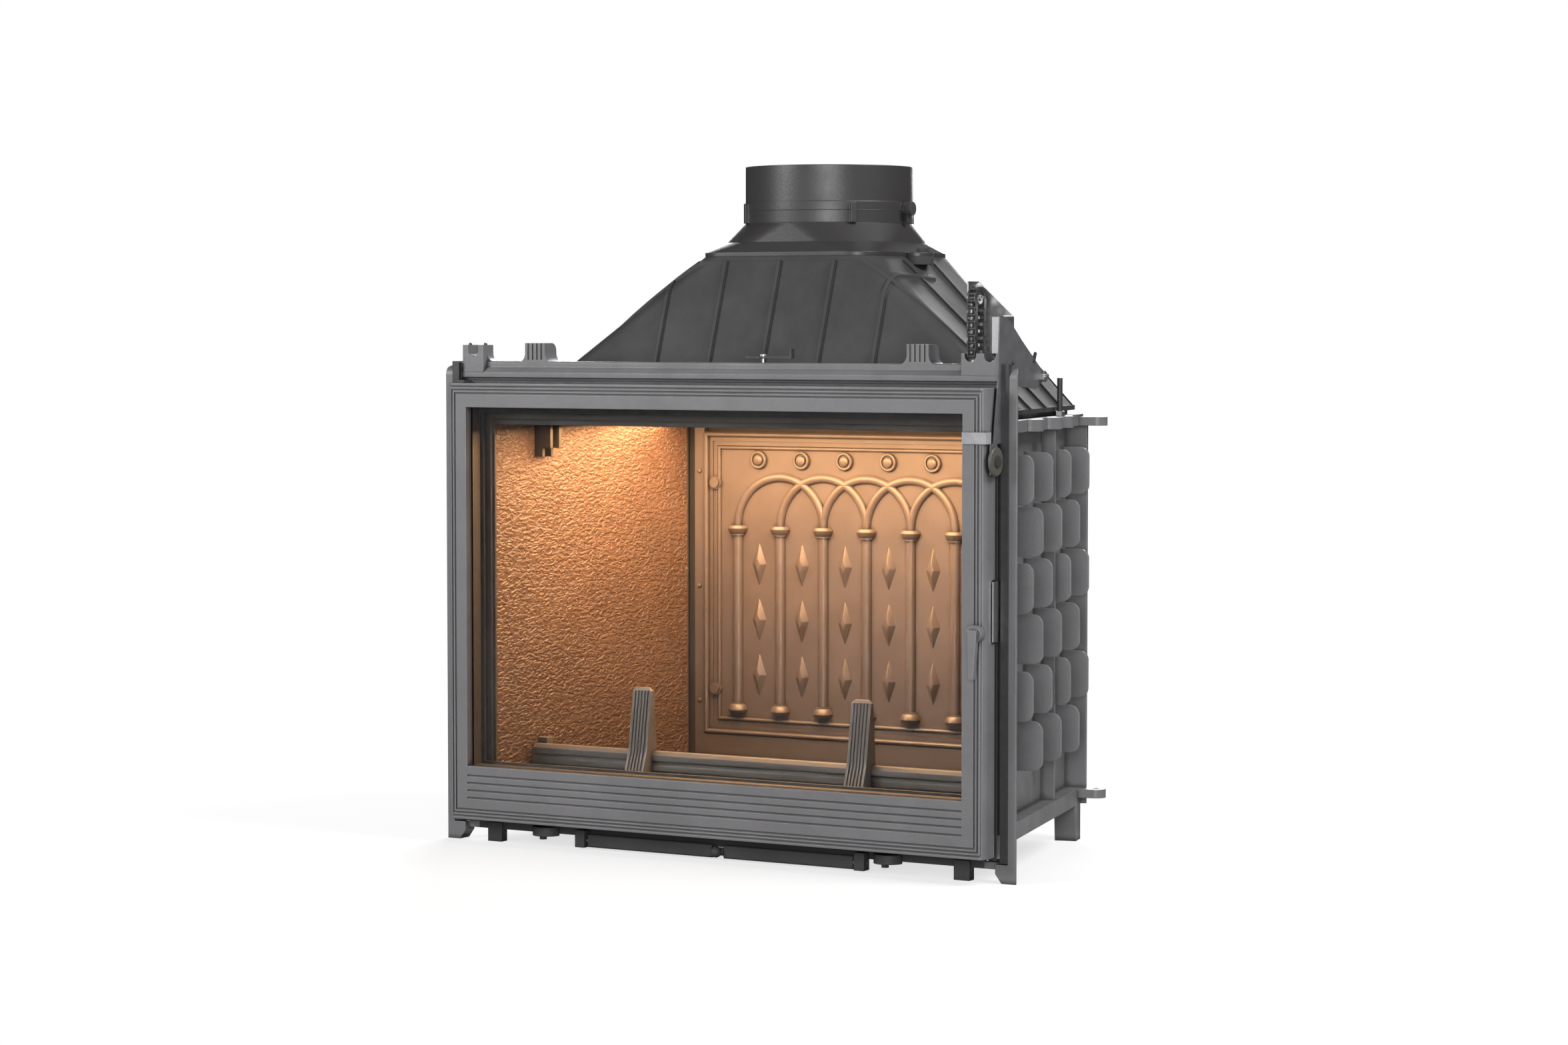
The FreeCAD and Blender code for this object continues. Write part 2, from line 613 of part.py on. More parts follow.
def ring(x_out, z_low, z_high, width, y_low, y_high):
    """A flat rectangular frame standing in the XZ plane."""
    outer = box(-x_out, x_out, y_low, y_high, z_low, z_high)
    return outer.cut(box(width - x_out, x_out - width, y_low, y_high, z_low + width, z_high - width))


def make_door_fittings():
    edge = glass_half + d.glass_lap - d.fit_gap
    low = glass_low - d.glass_lap + d.fit_gap
    high = glass_high + d.glass_lap - d.fit_gap
    glass_y = d.lip_thick + d.gasket_thick
    clip_y = glass_y + d.glass_thick
    piece("glass_gasket", ring(edge, low, high, d.glass_lap - d.fit_gap, d.lip_thick, glass_y))
    piece("door_glass", box(-edge, edge, glass_y, clip_y, low, high))
    retainer = ring(edge, low, high, d.glass_lap - d.fit_gap, clip_y, d.door_thick - d.fit_gap)
    piece("glass_clips", retainer)
    seal_out = door_half - d.recess_width - d.fit_gap
    margin = door_half - seal_out
    seal_back = d.door_thick + d.seal_thick
    rope = ring(seal_out, d.door_bottom + margin, door_top - margin, d.seal_width, d.door_thick, seal_back)
    piece("door_seal", rope)
    turn_x = door_half + d.fit_gap
    strap_z = door_top - d.strap_drop
    flat = box(glass_half, turn_x, -d.strap_thick, 0, strap_z, strap_z + d.strap_width)
    fold = box(turn_x, turn_x + d.strap_thick, -d.strap_thick, d.strap_fold, strap_z, strap_z + d.strap_width)
    piece("door_strap", flat.fuse(fold).removeSplitter())


def make_handle():
    body = new_body("handle_lever")
    boss = circle(handle_x, handle_z, d.boss_radius)
    pad(body, sketch(body, "boss", "XZ_Plane", [boss], "fit_gap"), "boss_reach - fit_gap")
    tip_z = handle_z - d.lever_length
    sections = []
    for name, z, width, front in (
        ("lever_root", handle_z + d.boss_radius / 2, d.lever_width, d.boss_reach + d.lever_thick / 2),
        ("lever_tip_end", tip_z, d.lever_tip, d.boss_reach + d.lever_kick),
    ):
        outline = rectangle(handle_x - width / 2, handle_x + width / 2, -front, d.lever_thick - front)
        sections.append(sketch(body, name, "XY_Plane", [outline], str(z)))
    loft = body.newObject("PartDesign::AdditiveLoft", "Lever")
    loft.Profile = sections[0]
    loft.Sections = sections[1:]
    doc.recompute()
    z = handle_z
    cam_y = d.door_thick - d.recess_depth + d.fit_gap
    shaft = rod((handle_x, -d.fit_gap, z), (0, 1, 0), d.spindle_radius, cam_y + d.cam_thick + d.fit_gap)
    reach = strike_x - d.fit_gap - handle_x
    half = d.spindle_radius
    arm = box(handle_x, handle_x + reach, cam_y, cam_y + d.cam_thick, z - half, z + half)
    arm = arm.common(rod((handle_x, cam_y, z), (0, 1, 0), reach, d.cam_thick))
    piece("handle_spindle", shaft.fuse(arm).removeSplitter())


# Lift carrier, shoes, rails
def make_carrier():
    body = new_body("lift_carrier")
    low = carrier_low
    high = door_top + d.carrier_rise
    lap = d.carrier_lap
    outer = rectangle(-carrier_half, carrier_half, low, high)
    opening = rectangle(lap - glass_half, glass_half - lap, glass_low + lap, glass_high - d.carrier_top_lap)
    start = "-(door_thick + carrier_gap)"
    pad(body, sketch(body, "carrier_outline", "XZ_Plane", [outer, opening], start), "carrier_thick", True)
    lug_front = hinge_y - d.hinge_round
    lug = rectangle(-carrier_half, d.hinge_lug - carrier_half, lug_front, carrier_y + d.root_lap)
    lower = "door_bottom - carrier_drop"
    upper = "door_bottom + door_height + fit_gap"
    pad(body, sketch(body, "lower_lug", "XY_Plane", [lug], lower), "carrier_drop - fit_gap")
    pad(body, sketch(body, "upper_lug", "XY_Plane", [lug], upper), "lug_thick")
    bore = circle(hinge_x, hinge_y, d.pin_radius)
    pocket(body, sketch(body, "lower_eye", "XY_Plane", [bore], lower), "carrier_drop - fit_gap", True)
    pocket(body, sketch(body, "upper_eye", "XY_Plane", [bore], upper + " + lug_thick"), "lug_thick")
    pins = []
    pins.append(rod((hinge_x, hinge_y, low), (0, 0, 1), d.pin_radius, d.carrier_drop + d.pin_depth))
    top = door_top + d.fit_gap + d.lug_thick
    pins.append(rod((hinge_x, hinge_y, top), (0, 0, -1), d.pin_radius, d.fit_gap + d.lug_thick + d.pin_depth))
    group("hinge_pins", pins)
    shoe_y = (carrier_y + d.fit_gap / 2, carrier_y + d.carrier_thick - d.fit_gap / 2)
    shoe_z = carrier_low + d.carrier_rise
    shoe = box(carrier_half, carrier_half + d.shoe_reach, *shoe_y, shoe_z, shoe_z + d.shoe_height)
    group("guide_shoes", both_sides(shoe))
    strike_z = (recess_bottom + d.strike_thick, recess_bottom + d.recess_height - d.strike_thick)
    blade = box(strike_x, strike_x + d.strike_thick, carrier_y - d.strike_reach, shoe_y[1], *strike_z)
    tab = box(carrier_half, strike_x, *shoe_y, *strike_z)
    piece("latch_strike", blade.fuse(tab).removeSplitter())


def make_rails():
    shoe_low = carrier_y + d.fit_gap / 2 - d.shoe_play
    shoe_high = carrier_y + d.carrier_thick - d.fit_gap / 2 + d.shoe_play
    front = shoe_low - d.rail_flange
    back = frame_y
    rail = box(rail_x, rail_out, front, back, under_top, bar_top)
    stop = carrier_low + d.carrier_rise - d.fit_gap
    rail = rail.cut(box(rail_x, rail_out - d.rail_web, shoe_low, shoe_high, stop, bar_top))
    right, left = both_sides(rail)
    piece("right_rail", right)
    piece("left_rail", left)


# Fixed front
def make_front_frame():
    body = new_body("front_frame")
    outer = rectangle(-frame_half, frame_half, d.wall_bottom + d.fit_gap, frame_top)
    mouth = rectangle(-mouth_half, mouth_half, mouth_bottom, mouth_top)
    start = "-(door_thick + carrier_gap + carrier_thick + frame_gap)"
    pad(body, sketch(body, "front_outline", "XZ_Plane", [outer, mouth], start), "frame_thick", True)
    step = d.mouth_step
    wide = rectangle(-mouth_half - step, mouth_half + step, mouth_bottom - step, mouth_top + d.lintel_step)
    pocket(body, sketch(body, "mouth_step_cut", "XZ_Plane", [wide], start), "frame_thick / 2")


def make_top_bar():
    body = new_body("top_bar")
    groove_y = frame_y + d.groove_setback
    groove_z = frame_top + d.bar_groove
    profile = polygon([(groove_y, frame_top), (bar_back, frame_top), (bar_back, bar_top),
                       (step_y + d.bar_bevel, bar_top), (step_y, bar_top - d.bar_bevel), (step_y, ledge_z),
                       (frame_y, nose_z), (frame_y, groove_z), (groove_y, groove_z)])
    bar = sketch(body, "bar_profile", "YZ_Plane", [profile], "-(door_width / 2 + rail_gap + rail_width)")
    pad(body, bar, "door_width + 2 * rail_gap + rail_width - plate_thick - fit_gap")
    start = "-(door_thick + carrier_gap + carrier_thick + frame_gap + bar_setback)"
    lugs = []
    for side in (-1, 1):
        middle = bar_middle + side * lug_place
        half = d.lug_width / 2
        foot = half + d.lug_flare
        top = bar_top + d.lug_rise
        arc = d.lug_flare * (1 - math.sqrt(0.5))
        low = bar_top - d.bar_bevel
        right = [Part.LineSegment(Vector(middle - half, top, 0), Vector(middle + half, top, 0)),
                 Part.LineSegment(Vector(middle + half, top, 0), Vector(middle + half, low + d.lug_flare, 0)),
                 Part.Arc(Vector(middle + half, low + d.lug_flare, 0),
                          Vector(middle + half + arc, low + arc, 0), Vector(middle + foot, low, 0)),
                 Part.LineSegment(Vector(middle + foot, low, 0), Vector(middle - foot, low, 0)),
                 Part.Arc(Vector(middle - foot, low, 0), Vector(middle - half - arc, low + arc, 0),
                          Vector(middle - half, low + d.lug_flare, 0)),
                 Part.LineSegment(Vector(middle - half, low + d.lug_flare, 0), Vector(middle - half, top, 0))]
        lugs.append(right)
    pad(body, sketch(body, "lugs", "XZ_Plane", lugs, start), "lug_depth", True)
    lug_back = step_y + d.lug_depth
    fillet(body, body.Tip, lambda p: near(p.y, lug_back) and near(p.z, bar_top + d.lug_rise), "lug_round")
    grooves = []
    for side in (-1, 1):
        for i in range(int(d.lug_flutes)):
            x = bar_middle + side * lug_place + (i - (d.lug_flutes - 1) / 2) * d.lug_flute_pitch
            grooves.append(rectangle(x - d.flute_width / 2, x + d.flute_width / 2, bar_top + d.flute_width,
                                     bar_top + d.lug_rise))
    pocket(body, sketch(body, "lug_flutes", "XZ_Plane", grooves, start), "flute_depth")
    top = "door_bottom + door_height + frame_rise + bar_rise"
    place = (d.lever_place, lever_y())
    seat = circle(*place, d.register_radius + d.fit_gap)
    pocket(body, sketch(body, "register_seat", "XY_Plane", [seat], top), "register_thick + fit_gap")
    bore = circle(*place, d.lever_pin + d.run_gap)
    pocket(body, sketch(body, "pivot_bore", "XY_Plane", [bore], top), "pin_seat")


def lever_y():
    """The draught lever turns over the middle of the upper step."""
    return frame_y + (d.bar_setback + d.bar_depth) / 2


def make_draught_lever():
    x, y = d.lever_place, lever_y()
    low = bar_top + d.lever_lift
    thick = d.lever_bar_thick
    bottom = bar_top - d.pin_seat + d.fit_gap
    pin = rod((x, y, bottom), (0, 0, 1), d.lever_pin, low + 2 * thick - bottom)
    pin = pin.fuse(rod((x, y, low + thick), (0, 0, 1), 2 * d.lever_pin, thick))
    piece("lever_pin", pin.removeSplitter())
    disc = rod((x, y, bar_top - d.register_thick), (0, 0, 1), d.register_radius, d.register_thick)
    notch = box(x - d.register_radius, x + d.register_radius, y - d.lever_pin / 2, y + d.lever_pin / 2,
                bar_top - d.fit_gap, bar_top)
    piece("register_disc", disc.cut([pin, notch]))
    half = d.lever_bar_width / 2
    left_end = x - d.lever_pivot
    right_end = left_end + d.lever_bar
    bar = box(left_end, right_end, y - half, y + half, low, low + thick)
    eye = rod((x, y, low), (0, 0, 1), half + d.lever_pin / 2, thick)
    tab = box(right_end - thick, right_end, y - half, y + half, low, low + d.lever_tab)
    piece("draught_lever", bar.fuse([eye, tab]).cut(pin).removeSplitter())


# Lift gear on the right
def make_side_plate():
    tip_top = bar_top - d.tip_drop
    corners = [(d.plate_foot, plate_bottom), (d.plate_front, frame_top),
               (d.plate_front + d.plate_lean, plate_top), (d.plate_back, plate_top - d.plate_crown),
               (d.plate_rear - d.plate_shoulder, plate_top - d.shoulder_drop), (d.plate_rear, tip_top),
               (d.plate_rear, tip_top - d.tip_height), (d.plate_rear - d.tip_slope, frame_top - d.tip_foot),
               (d.plate_back, frame_top), (d.plate_back, plate_bottom + d.plate_notch),
               (frame_y, plate_bottom)]
    sheet_metal = face_of([(plate_x, y, z) for y, z in corners]).extrude(Vector(d.plate_thick, 0, 0))
    arm_half = d.roller_radius / 2
    arm_front = d.roller_depth - arm_half
    arm_low = plate_bottom - d.arm_length
    arm = box(plate_x, rail_x, arm_front, d.roller_depth + arm_half, arm_low, plate_bottom)
    bore = rod((plate_x, d.roller_depth, roller_z), (1, 0, 0), d.axle_radius, d.plate_thick)
    stud_at = (d.plate_rear - d.plate_stud_back, bar_top - d.plate_stud_drop)
    stud_length = d.nut_height + d.plate_thick + d.plate_stud_end
    stud = rod((plate_x - d.nut_height, *stud_at), (1, 0, 0), d.plate_stud_radius, stud_length)
    piece("lift_side_plate", sheet_metal.fuse(arm).cut([bore, stud]).removeSplitter())
    nuts = []
    for x in (plate_x - d.nut_height, rail_x):
        nut = hexagon(d.nut_radius, d.nut_height, (0, 0, 0))
        nut.rotate(Vector(0, 0, 0), Vector(0, 1, 0), 90)
        nut.translate(Vector(x, *stud_at))
        nuts.append(nut)
    piece("plate_stud", stud.fuse(nuts).removeSplitter())
    start = rail_x + 2 * d.run_gap
    bore_radius = d.axle_radius + d.run_gap
    rim = d.roller_radius
    width = d.roller_width
    bevel = d.roller_chamfer
    outline = [(bore_radius, 0), (rim - bevel, 0), (rim, bevel), (rim, width - bevel), (rim - bevel, width),
               (bore_radius, width)]
    turned_body("closing_roller", outline, (start, d.roller_depth, roller_z), (1, 0, 0))
    axle = rod((plate_x, d.roller_depth, roller_z), (1, 0, 0), d.axle_radius, width + 2 * d.plate_thick)
    head_x = start + width + d.run_gap
    head = rod((head_x, d.roller_depth, roller_z), (1, 0, 0), 2 * d.axle_radius, d.plate_thick)
    piece("roller_axle", axle.fuse(head).removeSplitter())


def bracket_shape(x_low, x_high, top, notch_z, notches, side):
    """A chain bracket that sits on the top bar, with a hollow fillet at its inner end."""
    outline = [(x_low, frame_y, nose_z), (x_low, step_y, ledge_z), (x_low, step_y, bar_top - d.bar_bevel),
               (x_low, step_y + d.bar_bevel, bar_top), (x_low, bar_back, bar_top), (x_low, bar_back, top),
               (x_low, frame_y, top)]
    shape = face_of(outline).extrude(Vector(x_high - x_low, 0, 0))
    r = d.bracket_flare
    edge = x_high if side > 0 else x_low
    flare = box(min(edge, edge + side * r), max(edge, edge + side * r), step_y + d.bar_bevel, bar_back,
                bar_top, bar_top + r)
    flare = flare.cut(rod((edge + side * r, frame_y, bar_top + r), (0, 1, 0), r, d.bar_depth))
    shape = shape.fuse(flare)
    for x in notches:
        shape = shape.cut(rod((x, frame_y, notch_z), (0, 1, 0), d.notch_radius, d.bar_depth))
        shape = shape.cut(box(x - d.notch_radius, x + d.notch_radius, frame_y, bar_back, notch_z, top))
    return shape.removeSplitter()


def make_chain_gear():
    end = frame_half
    notch_z = bracket_top - d.notch_drop
    notches = (chain_x, chain_x + d.notch_spread)
    piece("right_bracket", bracket_shape(bracket_left, end, bracket_top, notch_z, notches, -1))
    left_top = bar_top + d.left_bracket_rise
    left_end = d.left_bracket_width - end
    left_notch = left_end - d.left_bracket_width / 2
    left_z = left_top - d.left_notch_drop
    piece("left_bracket", bracket_shape(-end, left_end, left_top, left_z, (left_notch,), 1))
    x_low = bracket_left + d.channel_inset
    x_high = x_low + d.channel_width
    y_low = frame_y + d.channel_front
    y_back = y_low + d.channel_depth
    outline = [(x_low, y_low, bracket_top), (x_high, y_low, bracket_top),
               (x_high, y_low, bracket_top + d.channel_low), (x_low, y_low, bracket_top + d.channel_high)]
    channel = face_of(outline).extrude(Vector(0, d.channel_depth, 0))
    wall = d.channel_wall
    hollow = box(x_low + wall, x_high - wall, y_low, y_back - wall, bracket_top, bracket_top + d.channel_high)
    channel = channel.cut(hollow)
    pitch_radius = d.chain_spread / 2
    outer_top = bracket_top + d.channel_low
    inner_top = pulley_z - d.link_plate
    outer_lip = box(x_high - d.outer_lip, x_high - wall, y_low, y_low + wall, bracket_top, outer_top)
    inner_lip = box(x_low + wall, x_low + d.inner_lip, y_low, y_low + wall, bracket_top, inner_top)
    channel = channel.fuse([outer_lip, inner_lip])
    rim = math.sqrt(pitch_radius ** 2 - d.link_pitch ** 2 / 4) - d.link_plate / 2 - d.fit_gap
    half = d.link_inside / 2 + d.link_thick
    bore_radius = d.axle_radius / 2 + d.run_gap
    outline = [(bore_radius, -half), (rim, -half), (rim, half), (bore_radius, half)]
    turned_body("chain_pulley", outline, (chain_x, pulley_y, pulley_z), (1, 0, 0))
    head_x = chain_x + half + d.run_gap
    axle = rod((x_low, pulley_y, pulley_z), (1, 0, 0), d.axle_radius / 2, head_x + wall - x_low)
    piece("chain_channel", channel.cut(axle).removeSplitter())
    head = rod((head_x, pulley_y, pulley_z), (1, 0, 0), d.axle_radius, wall)
    piece("pulley_axle", axle.fuse(head).removeSplitter())
    piece("lift_chain", chain_shape(pitch_radius))


def chain_path(pitch_radius):
    """Joints of the chain: up the front run, over the pulley and down the rear run."""
    low = bracket_top - d.chain_dip
    run = pulley_z - low
    arc = math.pi * pitch_radius
    count = int((2 * run + arc) / d.link_pitch)
    for i in range(count + 1):
        along = i * d.link_pitch
        if along < run:
            yield (chain_y, low + along)
        elif along < run + arc:
            angle = math.pi - (along - run) / pitch_radius
            yield (pulley_y + pitch_radius * math.cos(angle), pulley_z + pitch_radius * math.sin(angle))
        else:
            yield (chain_y + d.chain_spread, pulley_z - (along - run - arc))


def chain_shape(pitch_radius):
    """Plates in pairs, wide and narrow by turns, on a pin at every joint."""
    joints = list(chain_path(pitch_radius))
    solids = []
    for i, (a, b) in enumerate(zip(joints, joints[1:])):
        inner = d.link_inside / 2 + (i % 2) * d.link_thick
        for side in (-1, 1):
            x_low = chain_x + side * inner + (0 if side > 0 else -d.link_thick)
            solids.append(link_plate(a, b, x_low))
    span = d.link_inside / 2 + 2 * d.link_thick
    for y, z in joints:
        solids.append(rod((chain_x - span, y, z), (1, 0, 0), d.link_plate / 3, 2 * span))
    return solids[0].fuse(solids[1:])


def link_plate(a, b, x_low):
    """One plate between two joints, with rounded ends."""
    angle = math.degrees(math.atan2(b[1] - a[1], b[0] - a[0]))
    length = math.hypot(b[0] - a[0], b[1] - a[1])
    half = d.link_plate / 2
    straight = Part.LineSegment(Vector(0, 0, -half), Vector(0, length, -half)).toShape()
    far = Part.Arc(Vector(0, length, -half), Vector(0, length + half, 0), Vector(0, length, half)).toShape()
    returned = Part.LineSegment(Vector(0, length, half), Vector(0, 0, half)).toShape()
    near_end = Part.Arc(Vector(0, 0, half), Vector(0, -half, 0), Vector(0, 0, -half)).toShape()
    plate = Part.Face(Part.Wire([straight, far, returned, near_end])).extrude(Vector(d.link_thick, 0, 0))
    plate.rotate(Vector(0, 0, 0), Vector(1, 0, 0), angle)
    plate.translate(Vector(x_low, a[0], a[1]))
    return plate


# Body castings
def fin_shape(along, top):
    """One cooling fin in the wall's own frame, its outer corners rounded."""
    low = top - d.fin_height
    out = d.fin_reach
    r = d.fin_round
    bend = r * (1 - math.sqrt(0.5))
    edges = [Part.LineSegment(Vector(0, along, low), Vector(out - r, along, low)),
             Part.Arc(Vector(out - r, along, low), Vector(out - bend, along, low + bend),
                      Vector(out, along, low + r)),
             Part.LineSegment(Vector(out, along, low + r), Vector(out, along, top - r)),
             Part.Arc(Vector(out, along, top - r), Vector(out - bend, along, top - bend),
                      Vector(out - r, along, top)),
             Part.LineSegment(Vector(out - r, along, top), Vector(0, along, top)),
             Part.LineSegment(Vector(0, along, top), Vector(0, along, low))]
    return Part.Face(Part.Wire([edge.toShape() for edge in edges])).extrude(Vector(0, d.fin_thick, 0))


def carry_lug_shape(z):
    """A flat carrying lug with a round end and a bolt hole, at the wall's rear end."""
    half = d.carry_width / 2
    along = d.wall_length - half
    reach = d.flange_reach + d.carry_lug / 2
    arm = box(0, reach, along - half, along + half, z, z + d.carry_thick)
    arm = arm.fuse(rod((reach, along, z), (0, 0, 1), half, d.carry_thick))
    return arm.cut(rod((reach, along, z), (0, 0, 1), d.carry_hole, d.carry_thick))


def make_sides():
    run = d.wall_length
    front = d.jamb_front
    back = front + d.jamb_depth
    web_end = (back - wall_y) / wall_cos
    lug_z = lower_ledge + d.lower_ledge_thick - d.carry_thick
    wall = box(-d.wall_thick, 0, d.wall_thick * wall_slope, run, d.wall_bottom, wall_top)
    details = [box(0, d.rib_reach, d.rib_place, d.rib_place + d.rib_thick, lower_ledge, upper_ledge),
               box(0, d.flange_reach, run - d.rib_thick, run, lower_ledge, upper_ledge),
               box(0, d.ledge_reach, web_end, run, upper_ledge, upper_ledge + d.ledge_thick),
               box(0, d.ledge_reach, web_end, run, lower_ledge, lower_ledge + d.lower_ledge_thick),
               carry_lug_shape(upper_ledge), carry_lug_shape(lug_z)]
    stud_along = d.rib_place + d.lobe_radius
    for along in (d.fin_first + d.fin_pitch / 2, d.fin_first + 3 * d.fin_pitch / 2, stud_along):
        details.append(rod((d.lobe_out, along, upper_ledge), (0, 0, 1), d.lobe_radius, d.ledge_thick))
    for row in range(int(d.fin_rows)):
        top = upper_ledge - d.fin_drop - row * d.fin_row
        first = d.fin_first + (row % 2) * d.fin_pitch / 2
        last = run - d.rib_thick - d.fin_thick
        for i in range(int((last - first) / d.fin_pitch) + 1):
            details.append(fin_shape(first + i * d.fin_pitch, top))
    foot_y = run - d.foot_size - d.rib_thick
    lean = d.foot_size / 5
    foot = [(-d.wall_thick, foot_y, 0), (-d.wall_thick, foot_y + d.foot_size, 0),
            (-d.wall_thick, foot_y + d.foot_size, lower_ledge), (-d.wall_thick, foot_y - lean, lower_ledge)]
    details.append(face_of(foot).extrude(Vector(d.wall_thick + d.ledge_reach, 0, 0)))
    casting = beside_wall(wall.fuse(details))
    jamb_in = rail_out + d.jamb_gap
    jamb_out = jamb_in + d.jamb_width
    top = frame_top + d.jamb_rise
    r = d.jamb_round
    bend = r * (1 - math.sqrt(0.5))
    edges = [Part.LineSegment(Vector(jamb_in, front, 0), Vector(jamb_in, back, 0)),
             Part.LineSegment(Vector(jamb_in, back, 0), Vector(jamb_in, back, top)),
             Part.LineSegment(Vector(jamb_in, back, top), Vector(jamb_in, front + r, top)),
             Part.Arc(Vector(jamb_in, front + r, top), Vector(jamb_in, front + bend, top - bend),
                      Vector(jamb_in, front, top - r)),
             Part.LineSegment(Vector(jamb_in, front, top - r), Vector(jamb_in, front, 0))]
    jamb = Part.Face(Part.Wire([edge.toShape() for edge in edges])).extrude(Vector(d.jamb_width, 0, 0))
    plan = [(jamb_in, front, 0), (jamb_out, front, 0), (jamb_out, front + d.jamb_edge, 0),
            (jamb_in + d.jamb_root, back, 0), (jamb_in, back, 0)]
    jamb = jamb.common(face_of(plan).extrude(Vector(0, 0, top)))
    inner = inside_half(back, d.wall_thick / 2)
    web = box(inner, jamb_in, back - d.jamb_web, back, d.skirt_bottom, plate_bottom - d.fit_gap)
    toe_low = jamb_in - d.toe_reach
    toe = [(jamb_in, front, 0), (jamb_in, front, d.toe_height), (toe_low, front, d.toe_height),
           (toe_low, front, d.toe_height / 2), (jamb_in - d.toe_reach / 2, front, 0)]
    toe = face_of(toe).extrude(Vector(0, d.jamb_depth, 0))
    tie_front = wall_y - d.skirt_depth
    tie = box(wall_half - d.wall_thick, jamb_in, tie_front, wall_y, d.skirt_bottom, under_top)
    right, left = both_sides(casting.fuse([jamb, web, toe, tie]).removeSplitter())
    piece("right_side", right)
    piece("left_side", left)
    stud_place = (d.lobe_out, stud_along)
    seat = upper_ledge + d.ledge_thick
    root = rod((*stud_place, seat), (0, 0, 1), d.stud_root, d.nut_height)
    shank = rod((*stud_place, seat + d.nut_height), (0, 0, 1), d.stud_radius, d.stud_length)
    nut = hexagon(d.nut_radius, d.nut_height, (*stud_place, seat)).cut(root)
    group("side_studs", both_sides(beside_wall(root.fuse(shank))))
    group("side_nuts", both_sides(beside_wall(nut)))


def hexagon(radius, height, place):
    corners = [(radius * math.cos(math.pi * i / 3), radius * math.sin(math.pi * i / 3), 0) for i in range(6)]
    made = face_of(corners).extrude(Vector(0, 0, height))
    made.translate(Vector(*place))
    return made


def make_floor():
    rear = back_y - d.fit_gap
    inset = d.wall_thick + d.fit_gap
    plate = tapered_plate(wall_y, rear, d.wall_bottom, base_top, inset)
    skirt_half = inside_half(wall_y, inset)
    skirt_y = wall_y - d.skirt_depth
    skirt = box(-skirt_half, skirt_half, skirt_y, wall_y, d.skirt_bottom, d.wall_bottom)
    shelf_low = d.wall_bottom - d.base_thick
    shelf = box(-skirt_half, skirt_half, skirt_y, wall_y + d.base_thick, shelf_low, d.wall_bottom)
    low = wall_half - d.front_foot_inset - d.front_foot_width / 2
    foot = box(low, low + d.front_foot_width, wall_y - d.front_foot_depth, wall_y, 0, under_top)
    pillars = []
    pillar = d.foot_size / 2
    for y in (wall_y + d.foot_size, rear - 2 * d.foot_size):
        x = inside_half(y, liner_face) - d.pillar_inset
        pillars += both_sides(box(x, x + pillar, y, y + pillar, base_top, hearth_low))
    piece("base_plate", plate.fuse([skirt, shelf] + both_sides(foot) + pillars).removeSplitter())
    hearth = tapered_plate(wall_y, rear - d.back_plate_thick, hearth_low, hearth_top, inset)
    half_x = d.grate_length / 2 + d.grate_play
    half_y = d.grate_depth / 2 + d.grate_play
    middle = d.grate_place
    seat_z = hearth_top - d.grate_thick - d.fit_gap
    hearth = hearth.cut(box(-half_x, half_x, middle - half_y, middle + half_y, seat_z, hearth_top))
    half_x -= d.grate_seat
    half_y -= d.grate_seat
    hearth = hearth.cut(box(-half_x, half_x, middle - half_y, middle + half_y, hearth_low, hearth_top))
    piece("hearth_plate", hearth)
    half_x -= d.pan_play
    half_y -= d.pan_play
    pan_top = hearth_low - d.pan_gap
    pan = box(-half_x, half_x, middle - half_y, middle + half_y, base_top, pan_top)
    half_x -= d.pan_wall
    half_y -= d.pan_wall
    pan = pan.cut(box(-half_x, half_x, middle - half_y, middle + half_y, base_top + d.pan_wall, pan_top))
    piece("ash_pan", pan)


def make_grate():
    body = new_body("grate")
    half_x = d.grate_length / 2
    low = d.grate_place - d.grate_depth / 2
    outline = rectangle(-half_x, half_x, low, low + d.grate_depth)
    top = "wall_bottom + base_thick + hearth_rise"
    pad(body, sketch(body, "grate_outline", "XY_Plane", [outline], top), "grate_thick", True)
    margin = d.grate_seat + d.slot_width
    first = -(d.slot_count - 1) / 2 * d.slot_pitch
    half_slot = d.slot_width / 2
    slot = rectangle(first - half_slot, first + half_slot, low + margin, low + d.grate_depth - margin)
    profile = sketch(body, "grate_slot", "XY_Plane", [slot], top)
    cut = pocket(body, profile, "grate_thick")
    pattern = body.newObject("PartDesign::LinearPattern", "Slots")
    pattern.Originals = [cut]
    pattern.Direction = (profile, ["H_Axis"])
    bind(pattern, Length="slot_pitch * (slot_count - 1)", Occurrences="slot_count")
    body.Tip = pattern
    doc.recompute()


